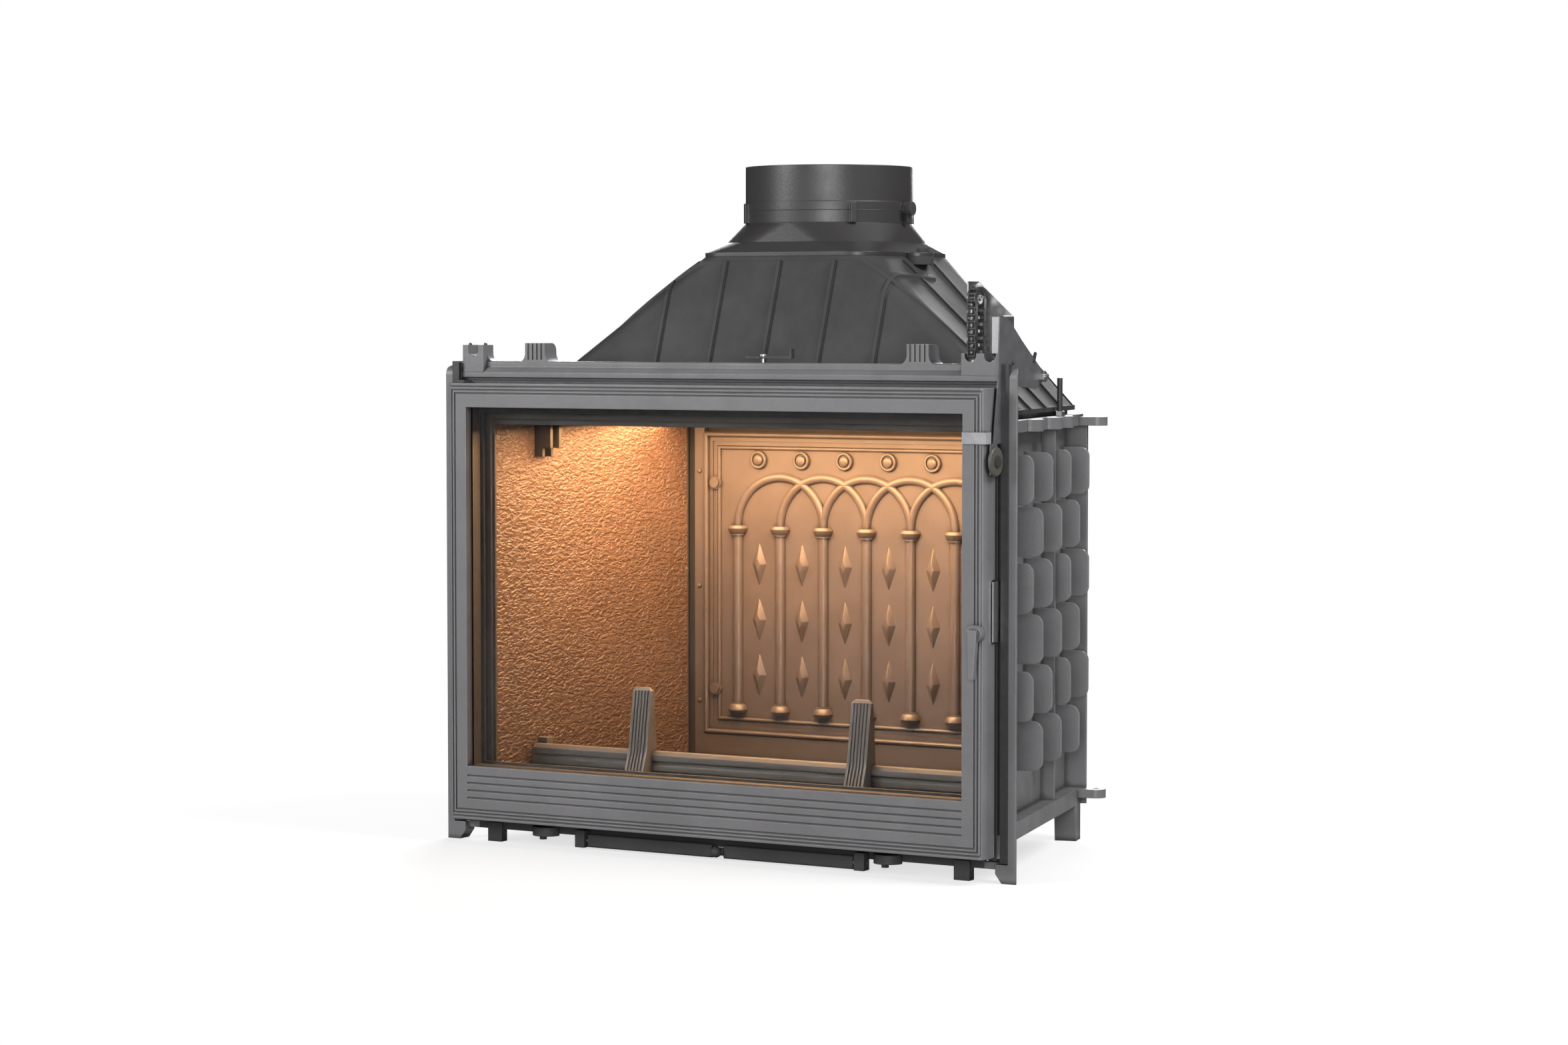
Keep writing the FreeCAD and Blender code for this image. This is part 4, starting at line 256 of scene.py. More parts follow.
def cast_grain_group():
    """Sand grain, broad patches and pits of a casting."""
    found = bpy.data.node_groups.get("Cast Grain")
    if found:
        return found
    board, given, result = open_group("Cast Grain", [("Grain", 0.0016), ("Patch", 0.06)],
                                      [("Grain", "Float"), ("Patches", "Float"), ("Height", "Float")])
    place = board.object_place()
    fine_scale = board.math("DIVIDE", 1.0, given["Grain"])
    patch_scale = board.math("DIVIDE", 1.0, given["Patch"])
    coarse_scale = board.math("MULTIPLY", fine_scale, 0.28)
    fine = board.noise(place, fine_scale, detail=2.0, roughness=0.6)
    coarse = board.noise(place, coarse_scale, detail=1.0)
    patch = board.noise(place, patch_scale, detail=4.0, roughness=0.62)
    lumps = board.math("MULTIPLY", coarse, 0.8)
    height = board.math("ADD", board.math("MULTIPLY", fine, 0.6), lumps)
    return close_group(board, result, {"Grain": board.ramp(fine, 0.32, 0.68),
                                       "Patches": board.ramp(patch, 0.36, 0.66), "Height": height})


def edge_group():
    """Where an edge gets a painted highlight as well as wear, where a recess gets painted shade from
    ambient occlusion, and a normal that rounds the edges.
    """
    found = bpy.data.node_groups.get("Worn Edges")
    if found:
        return found
    board, given, result = open_group("Worn Edges", [("Width", 0.0015), ("Reach", 0.012)],
                                      [("Edge", "Float"), ("Recess", "Float"), ("Normal", "Vector")])
    soft = board.add("ShaderNodeBevel", {"Radius": given["Width"]}, samples=6).outputs["Normal"]
    plain = board.add("ShaderNodeNewGeometry").outputs["Normal"]
    near = board.add("ShaderNodeVectorMath", {0: soft, 1: plain}, operation="DOT_PRODUCT")
    # mask of the edges that get wear and a painted highlight
    edge = board.ramp(near.outputs["Value"], 0.985, 0.80, smooth=True)
    # mask of painted shade in recesses, from ambient occlusion
    free = board.add("ShaderNodeAmbientOcclusion", {"Distance": given["Reach"]}, samples=8)
    recess = board.ramp(free.outputs["AO"], 0.9, 0.4, smooth=True)
    return close_group(board, result, {"Edge": edge, "Recess": recess, "Normal": soft})


def hammer_group():
    """Flattened, merging marks such as a hammered plate has, longer toward the back."""
    found = bpy.data.node_groups.get("Hammer Marks")
    if found:
        return found
    board, given, result = open_group("Hammer Marks", [("Size", 0.011)],
                                      [("Height", "Float"), ("Hollow", "Float")])
    stretch = board.add("ShaderNodeVectorMath", {0: board.object_place(), 1: (1.0, 0.5, 1.0)},
                        operation="MULTIPLY")
    place = stretch.outputs["Vector"]
    scale = board.math("DIVIDE", 1.0, given["Size"])
    blobs = board.noise(place, scale, detail=1.5, roughness=0.45, distortion=0.7)
    plateau = board.ramp(blobs, 0.38, 0.62, smooth=True)
    fine = board.noise(place, board.math("MULTIPLY", scale, 4.0), detail=1.0)
    height = board.math("ADD", plateau, board.math("MULTIPLY", fine, 0.12))
    return close_group(board, result, {"Height": height, "Hollow": board.ramp(blobs, 0.5, 0.3)})


def new_material(name):
    material = bpy.data.materials.new(name)
    material.use_nodes = True
    return material, Board(material.node_tree)


def shade(color, gain):
    return tuple(min(1.0, channel * gain) for channel in color) + (1.0,)


def finish_surface(board, shader):
    board.add("ShaderNodeOutputMaterial", {"Surface": shader.outputs[0]})


def cast_material(name, color, finishes, rough=0.52, patch=0.07, contrast=0.22, relief=0.0003, wear_and_highlight=0.2,
                  shade_and_soot=0.8, gleam=0.5):
    """Sand-cast iron: mottled tone, grainy surface, edges brighter (partly wear, partly painted highlight),
    recesses darkened with painted shade.
    """
    material, board = new_material(name)
    grain = board.add("ShaderNodeGroup", {"Grain": finishes.grain, "Patch": patch},
                      node_tree=cast_grain_group()).outputs
    edge = board.add("ShaderNodeGroup", {"Width": finishes.edge}, node_tree=edge_group()).outputs
    base = board.mix(grain["Patches"], shade(color, 1 - contrast), shade(color, 1 + contrast))
    base = board.toward(base, shade(color, 1 + 2 * contrast), grain["Grain"], 0.35)
    # edges drawn brighter: partly wear, partly a painted highlight on the rounded edges
    base = board.toward(base, shade(color, 2.1), edge["Edge"], wear_and_highlight)
    # painted shade: ambient occlusion darkens the recesses toward a near-black copy of the colour
    base = board.toward(base, shade(color, 0.15), edge["Recess"], shade_and_soot)
    gloss = board.ramp(grain["Patches"], 0, 1, rough + 0.06, rough - 0.06)
    bump = board.add("ShaderNodeBump", {"Strength": 0.55, "Distance": relief, "Height": grain["Height"],
                                        "Normal": edge["Normal"]})
    shader = board.add("ShaderNodeBsdfPrincipled", {"Base Color": base, "Roughness": gloss,
                                                    "Specular IOR Level": gleam,
                                                    "Normal": bump.outputs["Normal"]})
    finish_surface(board, shader)
    return material


def lining_material(name, color, finishes, marks):
    """Lining iron, browned by heat and darkened toward the bottom with painted shade; marks is the depth of
    its hammering.
    """
    material, board = new_material(name)
    grain = board.add("ShaderNodeGroup", {"Grain": finishes.grain, "Patch": 0.09},
                      node_tree=cast_grain_group()).outputs
    base = board.mix(grain["Patches"], shade(color, 0.86), shade(color, 1.1))
    if marks:
        hammer = board.add("ShaderNodeGroup", {"Size": finishes.hammer}, node_tree=hammer_group()).outputs
        base = board.toward(base, shade(color, 0.62), hammer["Hollow"], 0.35)
        height = board.math("ADD", hammer["Height"], board.math("MULTIPLY", grain["Height"], 0.08))
    else:
        edge = board.add("ShaderNodeGroup", {"Width": finishes.edge}, node_tree=edge_group()).outputs
        # back plate's edges drawn brighter, partly wear and partly a painted highlight; its recesses
        # darkened with painted shade
        base = board.toward(base, shade(color, 2.2), edge["Edge"], 0.6)
        base = board.toward(base, shade(color, 0.2), edge["Recess"], 0.85)
        height = board.math("MULTIPLY", grain["Height"], 0.25)
    # painted shade: the colour darkens toward the bottom of the plates, away from the lamp at the top
    level = board.add("ShaderNodeSeparateXYZ", {"Vector": board.object_place()}).outputs["Z"]
    painted_shade = board.ramp(level, PLATE_LOW.z, PLATE_HIGH.z, 0.6, 0.0)
    base = board.mix(painted_shade, base, shade(color, 0.3))
    bump = board.add("ShaderNodeBump", {"Strength": 0.8, "Distance": marks or 0.0006, "Height": height})
    gloss = board.ramp(grain["Grain"], 0, 1, 0.32, 0.44)
    shader = board.add("ShaderNodeBsdfPrincipled", {"Base Color": base, "Roughness": gloss,
                                                    "Normal": bump.outputs["Normal"]})
    finish_surface(board, shader)
    return material


def metal_material(name, color, rough, metallic):
    """Plated, blackened or painted steel with faint patches and edges drawn brighter, partly wear and
    partly painted highlight.
    """
    material, board = new_material(name)
    grain = board.add("ShaderNodeGroup", {"Grain": 0.0007, "Patch": 0.02},
                      node_tree=cast_grain_group()).outputs
    edge = board.add("ShaderNodeGroup", {"Width": 0.0007}, node_tree=edge_group()).outputs
    base = board.mix(grain["Patches"], shade(color, 0.82), shade(color, 1.12))
    # edges drawn brighter: partly wear, partly a painted highlight
    base = board.toward(base, shade(color, 1.8), edge["Edge"], 0.4)
    gloss = board.ramp(grain["Patches"], 0, 1, rough + 0.1, rough - 0.05)
    bump = board.add("ShaderNodeBump", {"Strength": 0.25, "Distance": 0.0001, "Height": grain["Height"],
                                        "Normal": edge["Normal"]})
    shader = board.add("ShaderNodeBsdfPrincipled", {"Base Color": base, "Roughness": gloss,
                                                    "Metallic": metallic,
                                                    "Normal": bump.outputs["Normal"]})
    finish_surface(board, shader)
    return material


def glass_material():
    """Clear ceramic glass that casts a soft brown shadow."""
    material, board = new_material("ceramic_glass")
    shader = board.add("ShaderNodeBsdfPrincipled", {"Base Color": (0.97, 0.96, 0.94, 1), "Roughness": 0.0,
                                                    "IOR": 1.12, "Transmission Weight": 1.0})
    clear = board.add("ShaderNodeBsdfTransparent", {"Color": (0.1, 0.092, 0.085, 1)})
    path = board.add("ShaderNodeLightPath").outputs["Is Shadow Ray"]
    mixed = board.add("ShaderNodeMixShader", {0: path, 1: shader.outputs[0], 2: clear.outputs[0]})
    finish_surface(board, mixed)
    return material


def rope_material(color):
    """Woven glass rope: slanting strands."""
    material, board = new_material("glass_rope")
    weave = {"Vector": board.object_place(), "Scale": 260.0, "Distortion": 2.0, "Detail": 1.0}
    strands = board.add("ShaderNodeTexWave", weave, bands_direction="DIAGONAL").outputs["Fac"]
    base = board.mix(strands, shade(color, 0.6), shade(color, 1.5))
    bump = board.add("ShaderNodeBump", {"Strength": 0.7, "Distance": 0.0006, "Height": strands})
    shader = board.add("ShaderNodeBsdfPrincipled", {"Base Color": base, "Roughness": 0.9,
                                                    "Normal": bump.outputs["Normal"]})
    finish_surface(board, shader)
    return material


def dress(nodes, material):
    """Give CAD nodes a finish."""
    for name in nodes:
        slots = NODES[name].data.materials
        slots.clear()
        slots.append(material)


def in_slot(slot, without=()):
    return [node for node, found in SLOT_OF.items() if found == slot and node not in without]


# Modelling
def clear_selection():
    if bpy.context.mode != "OBJECT":
        bpy.ops.object.mode_set(mode="OBJECT")
    bpy.ops.object.select_all(action="DESELECT")


def apply_place():
    bpy.ops.object.transform_apply(location=True, rotation=True, scale=True)


def open_piece():
    """The piece just added, with its place in its mesh, in edit mode."""
    piece = bpy.context.object
    apply_place()
    bpy.ops.object.mode_set(mode="EDIT")
    return piece


def pick(test):
    """Select the faces of the piece in edit mode whose middle and normal pass a test."""
    mesh = bmesh.from_edit_mesh(bpy.context.edit_object.data)
    for face in mesh.faces:
        face.select_set(False)
    mesh.select_mode = {"FACE"}
    for face in mesh.faces:
        face.select_set(test(face.calc_center_median(), face.normal))
    mesh.select_flush_mode()
    bmesh.update_edit_mesh(bpy.context.edit_object.data)


def extrude(rise, spread, center):
    """Extrude the selected faces along Z, and spread the new ones about a center."""
    bpy.ops.mesh.extrude_region_move(TRANSFORM_OT_translate={"value": (0, 0, rise)})
    bpy.ops.transform.resize(value=(spread, spread, 1), center_override=center)


def cut_away(place, normal):
    """Cut off what lies beyond a plane, and close the cut."""
    bpy.ops.mesh.select_all(action="SELECT")
    bpy.ops.mesh.bisect(plane_co=place, plane_no=normal, use_fill=True, clear_outer=True)


def keep_front(y):
    cut_away((0, y, 0), (0, 1, 0))


def join(pieces):
    clear_selection()
    for piece in pieces:
        piece.select_set(True)
    bpy.context.view_layer.objects.active = pieces[0]
    bpy.ops.object.join()
    return bpy.context.view_layer.objects.active


def copies(piece, places):
    """The piece at the first place and a copy with its own mesh at each other one, joined into one."""
    made = []
    for place in places[1:]:
        twin = piece.copy()
        twin.data = piece.data.copy()
        twin.data.transform(place)
        bpy.context.collection.objects.link(twin)
        made.append(twin)
    piece.data.transform(places[0])
    return join([piece] + made)


def standing(place, facing="up"):
    """The move that puts a piece made upright on the origin at a place, facing one way."""
    return Matrix.Translation(place) @ FACING[facing]


def finished(piece, name, smooth=35):
    """Name a piece, put its place into its mesh and shade its round parts smoothly."""
    clear_selection()
    piece.select_set(True)
    bpy.context.view_layer.objects.active = piece
    apply_place()
    bpy.ops.object.shade_smooth_by_angle(angle=math.radians(smooth))
    piece.name = name
    piece.data.name = name
    return piece


def settle(piece, material):
    """Give a finished piece of the fixed body its finish."""
    piece.data.materials.clear()
    piece.data.materials.append(bpy.data.materials[material])
    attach(piece, "insert")


def column_piece(radius, low, tall, panel_y):
    """One half-round column on the panel with a stepped base and a flared capital."""
    steps = ((0.0, 1.35), (0.25, 1.0), (0.35, 1.3), (0.7, 1.12), (0.5, 0.86))
    clear_selection()
    bpy.ops.mesh.primitive_cylinder_add(vertices=20, radius=radius, depth=tall,
                                        location=(0, panel_y, low + tall / 2))
    column = open_piece()
    for up, end in ((1, low + tall), (-1, low)):
        for rise, spread in steps:
            pick(lambda middle, normal: normal.z * up > 0.9 and (middle.z - end) * up >= -1e-5)
            extrude(up * rise * radius, spread, (0, panel_y, end))
    keep_front(panel_y)
    bpy.ops.object.mode_set(mode="OBJECT")
    return column


def arch_piece(span, radius, spring, panel_y):
    """One half-round arch over two bays."""
    clear_selection()
    bpy.ops.mesh.primitive_torus_add(major_radius=span, minor_radius=radius, major_segments=64,
                                     minor_segments=16, rotation=(math.pi / 2, 0, 0),
                                     location=(0, panel_y, spring))
    arch = open_piece()
    cut_away((0, panel_y, spring), (0, 0, -1))
    keep_front(panel_y)
    bpy.ops.object.mode_set(mode="OBJECT")
    return arch


def bead_piece(wide, tall, radius):
    """A half-round bead round a rectangle on the plane y = 0, mitred at its corners."""
    corner = 0.1
    clear_selection()
    bpy.ops.mesh.primitive_torus_add(major_radius=corner * math.sqrt(2), minor_radius=radius,
                                     major_segments=4, minor_segments=24,
                                     rotation=(math.pi / 2, math.pi / 4, 0))
    bead = open_piece()
    for axis, side, reach in ((0, 1, wide / 2), (0, -1, wide / 2), (2, 1, tall / 2), (2, -1, tall / 2)):
        pick(lambda middle, normal: middle[axis] * side > corner / 2)
        move = Vector()
        move[axis] = side * (reach - corner)
        bpy.ops.transform.translate(value=move)
    keep_front(0.0)
    bpy.ops.object.mode_set(mode="OBJECT")
    return bead


def stepped_piece(radius, thick, sides, steps):
    """A turned piece that stands on the origin: each step rises and narrows the round before it."""
    clear_selection()
    bpy.ops.mesh.primitive_cylinder_add(vertices=sides, radius=radius, depth=thick,
                                        location=(0, 0, thick / 2))
    piece = open_piece()
    pick(lambda middle, normal: normal.z > 0.9)
    for rise, narrow in steps:
        extrude(rise, narrow, (0, 0, 0))
    bpy.ops.object.mode_set(mode="OBJECT")
    return piece


def boss_piece(radius):
    """A round boss: a rim, a hollow and a dome."""
    steps = ((0.1, 0.93), (0.03, 0.9), (-0.03, 0.9), (-0.14, 0.94), (0.0, 0.82), (0.2, 0.92), (0.1, 0.78),
             (0.04, 0.5))
    return stepped_piece(radius, 0.3 * radius, 32, [(rise * radius, narrow) for rise, narrow in steps])


def head_piece(radius, rise, sides):
    """A domed head that stands on the origin."""
    steps = ((0.24, 0.9), (0.16, 0.76), (0.1, 0.55))
    return stepped_piece(radius, rise / 2, sides, [(step * rise, narrow) for step, narrow in steps])


def lozenge_piece(width, tall, rise):
    """A raised lozenge with four slopes round a small flat, standing on the plane y = 0."""
    clear_selection()
    bpy.ops.mesh.primitive_cone_add(vertices=4, radius1=1, radius2=0.3, depth=1,
                                    rotation=(math.pi / 2, 0, 0))
    lozenge = open_piece()
    bpy.ops.mesh.select_all(action="SELECT")
    bpy.ops.transform.translate(value=(0, -0.5, 0))
    bpy.ops.transform.resize(value=(width / 2, rise, tall / 2), center_override=(0, 0, 0))
    bpy.ops.mesh.bevel(offset=0.0012, segments=3, affect="EDGES")
    bpy.ops.object.mode_set(mode="OBJECT")
    return lozenge


# Operators
class INSERT_OT_castings(bpy.types.Operator):
    """Castings round the fire: door, front, sides, brackets, log guard and front frame"""
    bl_idname = "insert.castings"
    bl_label = "Castings"

    def execute(self, context):
        finishes = context.scene.insert_finishes
        painted = cast_material("painted_iron", finishes.iron, finishes, rough=0.4, contrast=0.13, wear_and_highlight=0.6,
                                shade_and_soot=0.95)
        dress(in_slot("iron", RAW_IRON), painted)
        # log guard darker than the door's iron, partly as painted shade behind the glass
        guard = cast_material("guard_iron", finishes.guard, finishes, rough=0.42, contrast=0.13, wear_and_highlight=0.9,
                              shade_and_soot=0.9)
        dress(LOG_GUARD, guard)
        # painted shade: the frame round the fire is made dark where it lies in shade behind the door
        painted_shade = cast_material("sooty_iron", finishes.shade_and_soot, finishes, rough=0.45, contrast=0.13, wear_and_highlight=0.5)
        dress(["front_frame"], painted_shade)
        return {"FINISHED"}


class INSERT_OT_hood(bpy.types.Operator):
    """Raw castings of the hood, floor and back, and the blacked flue collar"""
    bl_idname = "insert.hood"
    bl_label = "Hood"

    def execute(self, context):
        finishes = context.scene.insert_finishes
        raw = cast_material("hood_iron", finishes.hood, finishes, rough=0.6, patch=0.12, contrast=0.16,
                            relief=0.0004, wear_and_highlight=0.5, shade_and_soot=0.4, gleam=0.22)
        dress(in_slot("hood_iron") + RAW_IRON, raw)
        blacked = cast_material("collar_iron", finishes.collar, finishes, rough=0.43, patch=0.12,
                                contrast=0.16, wear_and_highlight=0.4, shade_and_soot=0.4)
        dress(["hood_collar"], blacked)
        return {"FINISHED"}


class INSERT_OT_lining(bpy.types.Operator):
    """Hammered lining, the smooth back plate and the darkened brackets under the baffle"""
    bl_idname = "insert.lining"
    bl_label = "Lining"

    def execute(self, context):
        finishes = context.scene.insert_finishes
        dress(in_slot("lining"), lining_material("back_plate_iron", finishes.plate, finishes, 0.0))
        hammered = lining_material("hammered_iron", finishes.lining, finishes, finishes.hammer_depth)
        dress(LINERS, hammered)
        dress(["baffle_brackets"], bpy.data.materials["sooty_iron"])
        return {"FINISHED"}


class INSERT_OT_steelwork(bpy.types.Operator):
    """Plated, blackened and painted steel of the lift gear and fittings"""
    bl_idname = "insert.steelwork"
    bl_label = "Steelwork"

    def execute(self, context):
        finishes = context.scene.insert_finishes
        dress(in_slot("steel"), metal_material("plated_steel", finishes.steel, 0.34, 1.0))
        dress(in_slot("black_steel") + ["lift_chain"],
              metal_material("black_steel", finishes.black, 0.45, 0.0))
        dress(in_slot("grey_paint"), metal_material("grey_sheet", finishes.grey, 0.4, 0.0))
        dress(["door_strap"], metal_material("light_sheet", finishes.strap, 0.4, 0.0))
        return {"FINISHED"}


class INSERT_OT_glazing(bpy.types.Operator):
    """Glass, rope seals and the moulded roller"""
    bl_idname = "insert.glazing"
    bl_label = "Glazing"

    def execute(self, context):
        finishes = context.scene.insert_finishes
        dress(in_slot("glass"), glass_material())
        dress(in_slot("rope"), rope_material(finishes.rope))
        moulded = cast_material("moulded_roller", finishes.roller, finishes, rough=0.5, relief=0.0001)
        dress(in_slot("roller"), moulded)
        return {"FINISHED"}


class INSERT_OT_rims(bpy.types.Operator):
    """Beads round the edge of the back plate and round its sunk panel"""
    bl_idname = "insert.rims"
    bl_label = "Rims"

    def execute(self, context):
        sizes = context.scene.insert_ornament
        middle = (PLATE_LOW + PLATE_HIGH) / 2
        size = PLATE_HIGH - PLATE_LOW
        beads = []
        for radius, inset, sunk in ((sizes.rim, sizes.rim_inset, 0.0),
                                    (sizes.rim_inner, sizes.rim_inner_inset, sizes.panel)):
            bead = bead_piece(size.x - 2 * inset, size.z - 2 * inset, radius)
            bead.data.transform(standing((middle.x, PLATE_LOW.y + sunk, middle.z)))
            beads.append(bead)
        settle(finished(join(beads), "back_plate_rims"), "back_plate_iron")
        return {"FINISHED"}


class INSERT_OT_arcade(bpy.types.Operator):
    """Relief of interlaced arches on the back plate"""
    bl_idname = "insert.arcade"
    bl_label = "Arcade"

    def execute(self, context):
        sizes = context.scene.insert_ornament
        panel_y = PLATE_LOW.y + sizes.panel + sizes.sink
        low = PLATE_LOW.z + sizes.moulding + sizes.foot
        spring = low + sizes.tall
        capital = 1.8 * sizes.shaft
        top = spring + sizes.pitch + sizes.boss_rise
        first = -(sizes.columns - 1) / 2 * sizes.pitch
        axes = [first + i * sizes.pitch for i in range(sizes.columns)]
        bays = [x + sizes.pitch / 2 for x in axes[:-1]]
        levels = [low + share * sizes.tall for share in (0.17, 0.5, 0.83)]
        columns = copies(column_piece(sizes.shaft, low, sizes.tall, panel_y),
                         [standing((x, 0, 0)) for x in axes])
        arches = copies(arch_piece(sizes.pitch, 0.8 * sizes.shaft, spring + capital, panel_y),
                        [standing((x, 0, 0)) for x in axes[1:-1]])
        bosses = copies(boss_piece(sizes.boss), [standing((x, panel_y, top), "front") for x in bays])
        lozenges = copies(lozenge_piece(sizes.lozenge, sizes.lozenge_tall, sizes.lozenge_rise),
                          [standing((x, panel_y, z)) for x in bays for z in levels])
        relief = finished(join([columns, arches, bosses, lozenges]), "back_plate_arcade")
        settle(relief, "back_plate_iron")
        return {"FINISHED"}


class INSERT_OT_collar_bead(bpy.types.Operator):
    """Seam round the flue collar"""
    bl_idname = "insert.collar_bead"
    bl_label = "Collar Bead"

    def execute(self, context):
        sizes = context.scene.insert_trim
        middle = (0, COLLAR["pos_m"][1], sizes.bead_place)
        clear_selection()
        bpy.ops.mesh.primitive_torus_add(major_radius=COLLAR["dims"]["r_mm"] / 1000,
                                         minor_radius=sizes.bead, major_segments=128, minor_segments=12,
                                         location=middle)
        bead = open_piece()
        bpy.ops.mesh.select_all(action="SELECT")
        bpy.ops.transform.resize(value=(1, 1, 0.7), center_override=middle)
        bpy.ops.object.mode_set(mode="OBJECT")
        settle(finished(bead, "collar_bead"), "collar_iron")
        return {"FINISHED"}


class INSERT_OT_screw_heads(bpy.types.Operator):
    """Small heads on the left bracket, the side plate, the corner strips and the back"""
    bl_idname = "insert.screw_heads"
    bl_label = "Screw Heads"

    def bracket_places(self, sizes):
        low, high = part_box("left_bracket")
        depth = (low.y + high.y) / 2
        first = low.x + sizes.bracket_in
        places = [standing((x, depth, high.z)) for x in (first, first + sizes.bracket_pitch)]
        low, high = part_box("lift_side_plate")
        upper = high.z - sizes.plate_drop
        for z in (upper, upper - sizes.plate_pitch):
            places.append(standing((high.x, low.y + sizes.plate_in, z), "right"))
        return places

    def strip_places(self, sizes):
        low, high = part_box("corner_strips")
        face = low.y + sizes.strip_face
        levels = [low.z + share * (high.z - low.z) for share in (0.16, 0.5, 0.84)]
        return [standing((x, face, z), "front") for x in (low.x + sizes.strip_in, high.x - sizes.strip_in)
                for z in levels]

    def back_places(self, sizes):
        low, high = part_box("back_wall")
        rear = high.y - sizes.back_rib
        levels = (low.z + sizes.back_low, high.z - sizes.back_drop)
        return [standing((x, rear, z), "back") for x in (low.x + sizes.back_in, 0.0, high.x - sizes.back_in)
                for z in levels]

    def execute(self, context):
        sizes = context.scene.insert_trim
        radius = sizes.screw
        heads = copies(head_piece(radius, 1.2 * radius, 18), self.bracket_places(sizes))
        settle(finished(heads, "bracket_heads"), "black_steel")
        heads = copies(head_piece(1.3 * radius, radius, 18), self.strip_places(sizes))
        settle(finished(heads, "strip_heads"), "back_plate_iron")
        heads = copies(head_piece(sizes.back_screw, 0.7 * sizes.back_screw, 6), self.back_places(sizes))
        settle(finished(heads, "back_heads"), "black_steel")
        return {"FINISHED"}


class INSERT_OT_edge_clip(bpy.types.Operator):
    """Black clip on the sloping edge of the side plate"""
    bl_idname = "insert.edge_clip"
    bl_label = "Edge Clip"

    def execute(self, context):
        sizes = context.scene.insert_trim
        low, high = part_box("lift_side_plate")
        thick = high.x - low.x + sizes.clip_over
        clear_selection()
        bpy.ops.mesh.primitive_cube_add(size=1, scale=(thick, sizes.clip_width, sizes.clip))
        clip = open_piece()
        pick(lambda middle, normal: normal.z > 0.9)
        bpy.ops.transform.resize(value=(0.7, 0.7, 1), center_override=(0, 0, sizes.clip / 2))
        bpy.ops.mesh.select_all(action="SELECT")
        bpy.ops.mesh.bevel(offset=sizes.clip_round, segments=2, affect="EDGES")
        bpy.ops.object.mode_set(mode="OBJECT")
        slope = Matrix.Rotation(sizes.clip_slope, 4, "X")
        edge = ((low.x + high.x) / 2, high.y - sizes.clip_in, high.z - sizes.clip_drop)
        clip.data.transform(standing(edge) @ slope @ standing((0, 0, sizes.clip_rise)))
        settle(finished(clip, "edge_clip"), "black_steel")
        return {"FINISHED"}


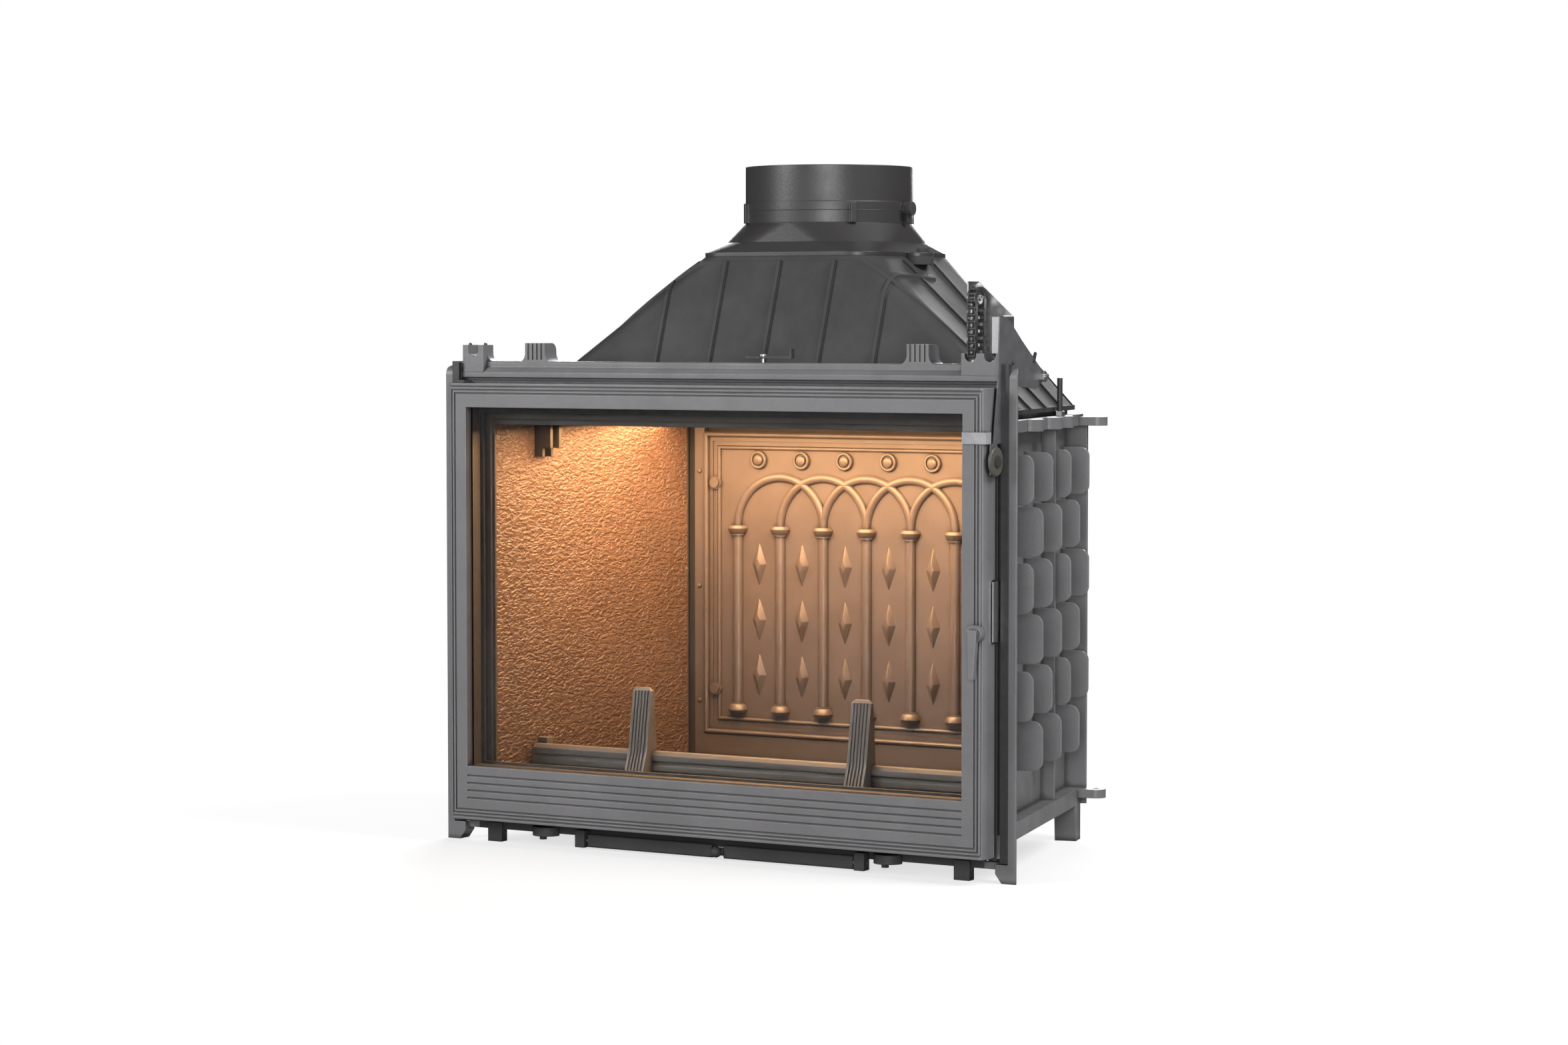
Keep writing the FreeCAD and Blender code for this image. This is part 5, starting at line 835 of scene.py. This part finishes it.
class INSERT_OT_studio(bpy.types.Operator):
    """Pale floor, soft light and the camera"""
    bl_idname = "insert.studio"
    bl_label = "Studio"

    def lamp(self, name, place, aim, size, power):
        light = bpy.data.lights.new(name, "AREA")
        light.shape = "RECTANGLE"
        light.size, light.size_y = size
        light.energy = power
        made = bpy.data.objects.new(name, light)
        made.location = place
        made.rotation_euler = (Vector(aim) - Vector(place)).to_track_quat("-Z", "Y").to_euler()
        made.visible_camera = False
        bpy.context.collection.objects.link(made)
        return made

    def seen(self, board):
        """1 where the camera sees a surface straight or through the glass, 0 where light bounces off it."""
        path = board.add("ShaderNodeLightPath").outputs
        bounces = board.math("ADD", path["Diffuse Depth"], path["Glossy Depth"])
        return board.math("LESS_THAN", bounces, 0.5)

    def floor_material(self, glow):
        """Matt and pale under the insert, and as white as the sky further out."""
        material, board = new_material("pale_floor")
        away = board.add("ShaderNodeVectorMath", {0: board.object_place()}, operation="LENGTH")
        far = board.ramp(away.outputs["Value"], 0.5, 1.9, glow, 1.0, smooth=True)
        white = board.add("ShaderNodeEmission", {"Color": WHITE, "Strength": 1.0})
        matt = board.add("ShaderNodeBsdfDiffuse", {"Color": (0.85, 0.85, 0.85, 1)})
        lit = board.add("ShaderNodeMixShader", {0: far, 1: matt.outputs[0], 2: white.outputs[0]})
        dim = board.add("ShaderNodeBsdfDiffuse", {"Color": (0.3, 0.3, 0.3, 1)})
        shown = board.add("ShaderNodeMixShader", {0: self.seen(board), 1: dim.outputs[0],
                                                  2: lit.outputs[0]})
        finish_surface(board, shown)
        return material

    def light_sky(self, scene, power):
        """White behind the insert, and a soft light on it."""
        world = bpy.data.worlds.new("studio_sky")
        scene.world = world
        world.use_nodes = True
        board = Board(world.node_tree)
        soft = board.add("ShaderNodeBackground", {"Color": WHITE, "Strength": power})
        white = board.add("ShaderNodeBackground", {"Color": WHITE, "Strength": 1.0})
        mixed = board.add("ShaderNodeMixShader", {0: self.seen(board), 1: soft.outputs[0],
                                                  2: white.outputs[0]})
        board.add("ShaderNodeOutputWorld", {"Surface": mixed.outputs[0]})

    def place_camera(self, context):
        camera = bpy.data.objects.new("camera", bpy.data.cameras.new("camera"))
        camera.data.lens = CAMERA_LENS
        camera.data.sensor_width = CAMERA_SENSOR
        camera.location = CAMERA_PLACE
        camera.rotation_euler = (CAMERA_PITCH, 0, CAMERA_YAW)
        context.collection.objects.link(camera)
        context.scene.camera = camera

    def execute(self, context):
        settings = context.scene.insert_studio
        clear_selection()
        bpy.ops.mesh.primitive_plane_add(size=40, location=(0, 0, 0))
        floor = finished(context.object, "studio_floor")
        floor.data.materials.append(self.floor_material(settings.floor))
        self.light_sky(context.scene, settings.sky)
        lamps = {}
        for name, place, aim, size in LAMPS:
            lamps[name] = self.lamp(name, place, aim, size, getattr(settings, name))
        lamps["glow"].data.color = FIRE_COLOR
        lamps["glow"].visible_transmission = False
        self.place_camera(context)
        context.scene.view_settings.view_transform = "Standard"
        return {"FINISHED"}


STEPS = (INSERT_OT_castings, INSERT_OT_hood, INSERT_OT_lining, INSERT_OT_steelwork, INSERT_OT_glazing,
         INSERT_OT_rims, INSERT_OT_arcade, INSERT_OT_collar_bead, INSERT_OT_screw_heads,
         INSERT_OT_edge_clip, INSERT_OT_studio)


class INSERT_PT_panel(bpy.types.Panel):
    """Lists the insert's steps"""
    bl_idname = "INSERT_PT_panel"
    bl_label = "Fireplace Insert"
    bl_space_type = "VIEW_3D"
    bl_region_type = "UI"
    bl_category = "Insert"

    def draw(self, context):
        for step in STEPS:
            self.layout.operator(step.bl_idname)


GROUPS = (("insert_finishes", InsertFinishes), ("insert_ornament", OrnamentSizes),
          ("insert_trim", TrimSizes), ("insert_studio", StudioSettings))


def register():
    for name, group in GROUPS:
        bpy.utils.register_class(group)
        setattr(bpy.types.Scene, name, PointerProperty(type=group))
    for item in STEPS + (INSERT_PT_panel,):
        bpy.utils.register_class(item)


def unregister():
    for item in reversed(STEPS + (INSERT_PT_panel,)):
        bpy.utils.unregister_class(item)
    for name, group in reversed(GROUPS):
        delattr(bpy.types.Scene, name)
        bpy.utils.unregister_class(group)


def main():
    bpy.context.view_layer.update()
    register()
    bpy.ops.insert.castings()
    bpy.ops.insert.hood()
    bpy.ops.insert.lining()
    bpy.ops.insert.steelwork()
    bpy.ops.insert.glazing()
    bpy.ops.insert.rims()
    bpy.ops.insert.arcade()
    bpy.ops.insert.collar_bead()
    bpy.ops.insert.screw_heads()
    bpy.ops.insert.edge_clip()
    bpy.ops.insert.studio()


if __name__ == "__main__":
    main()
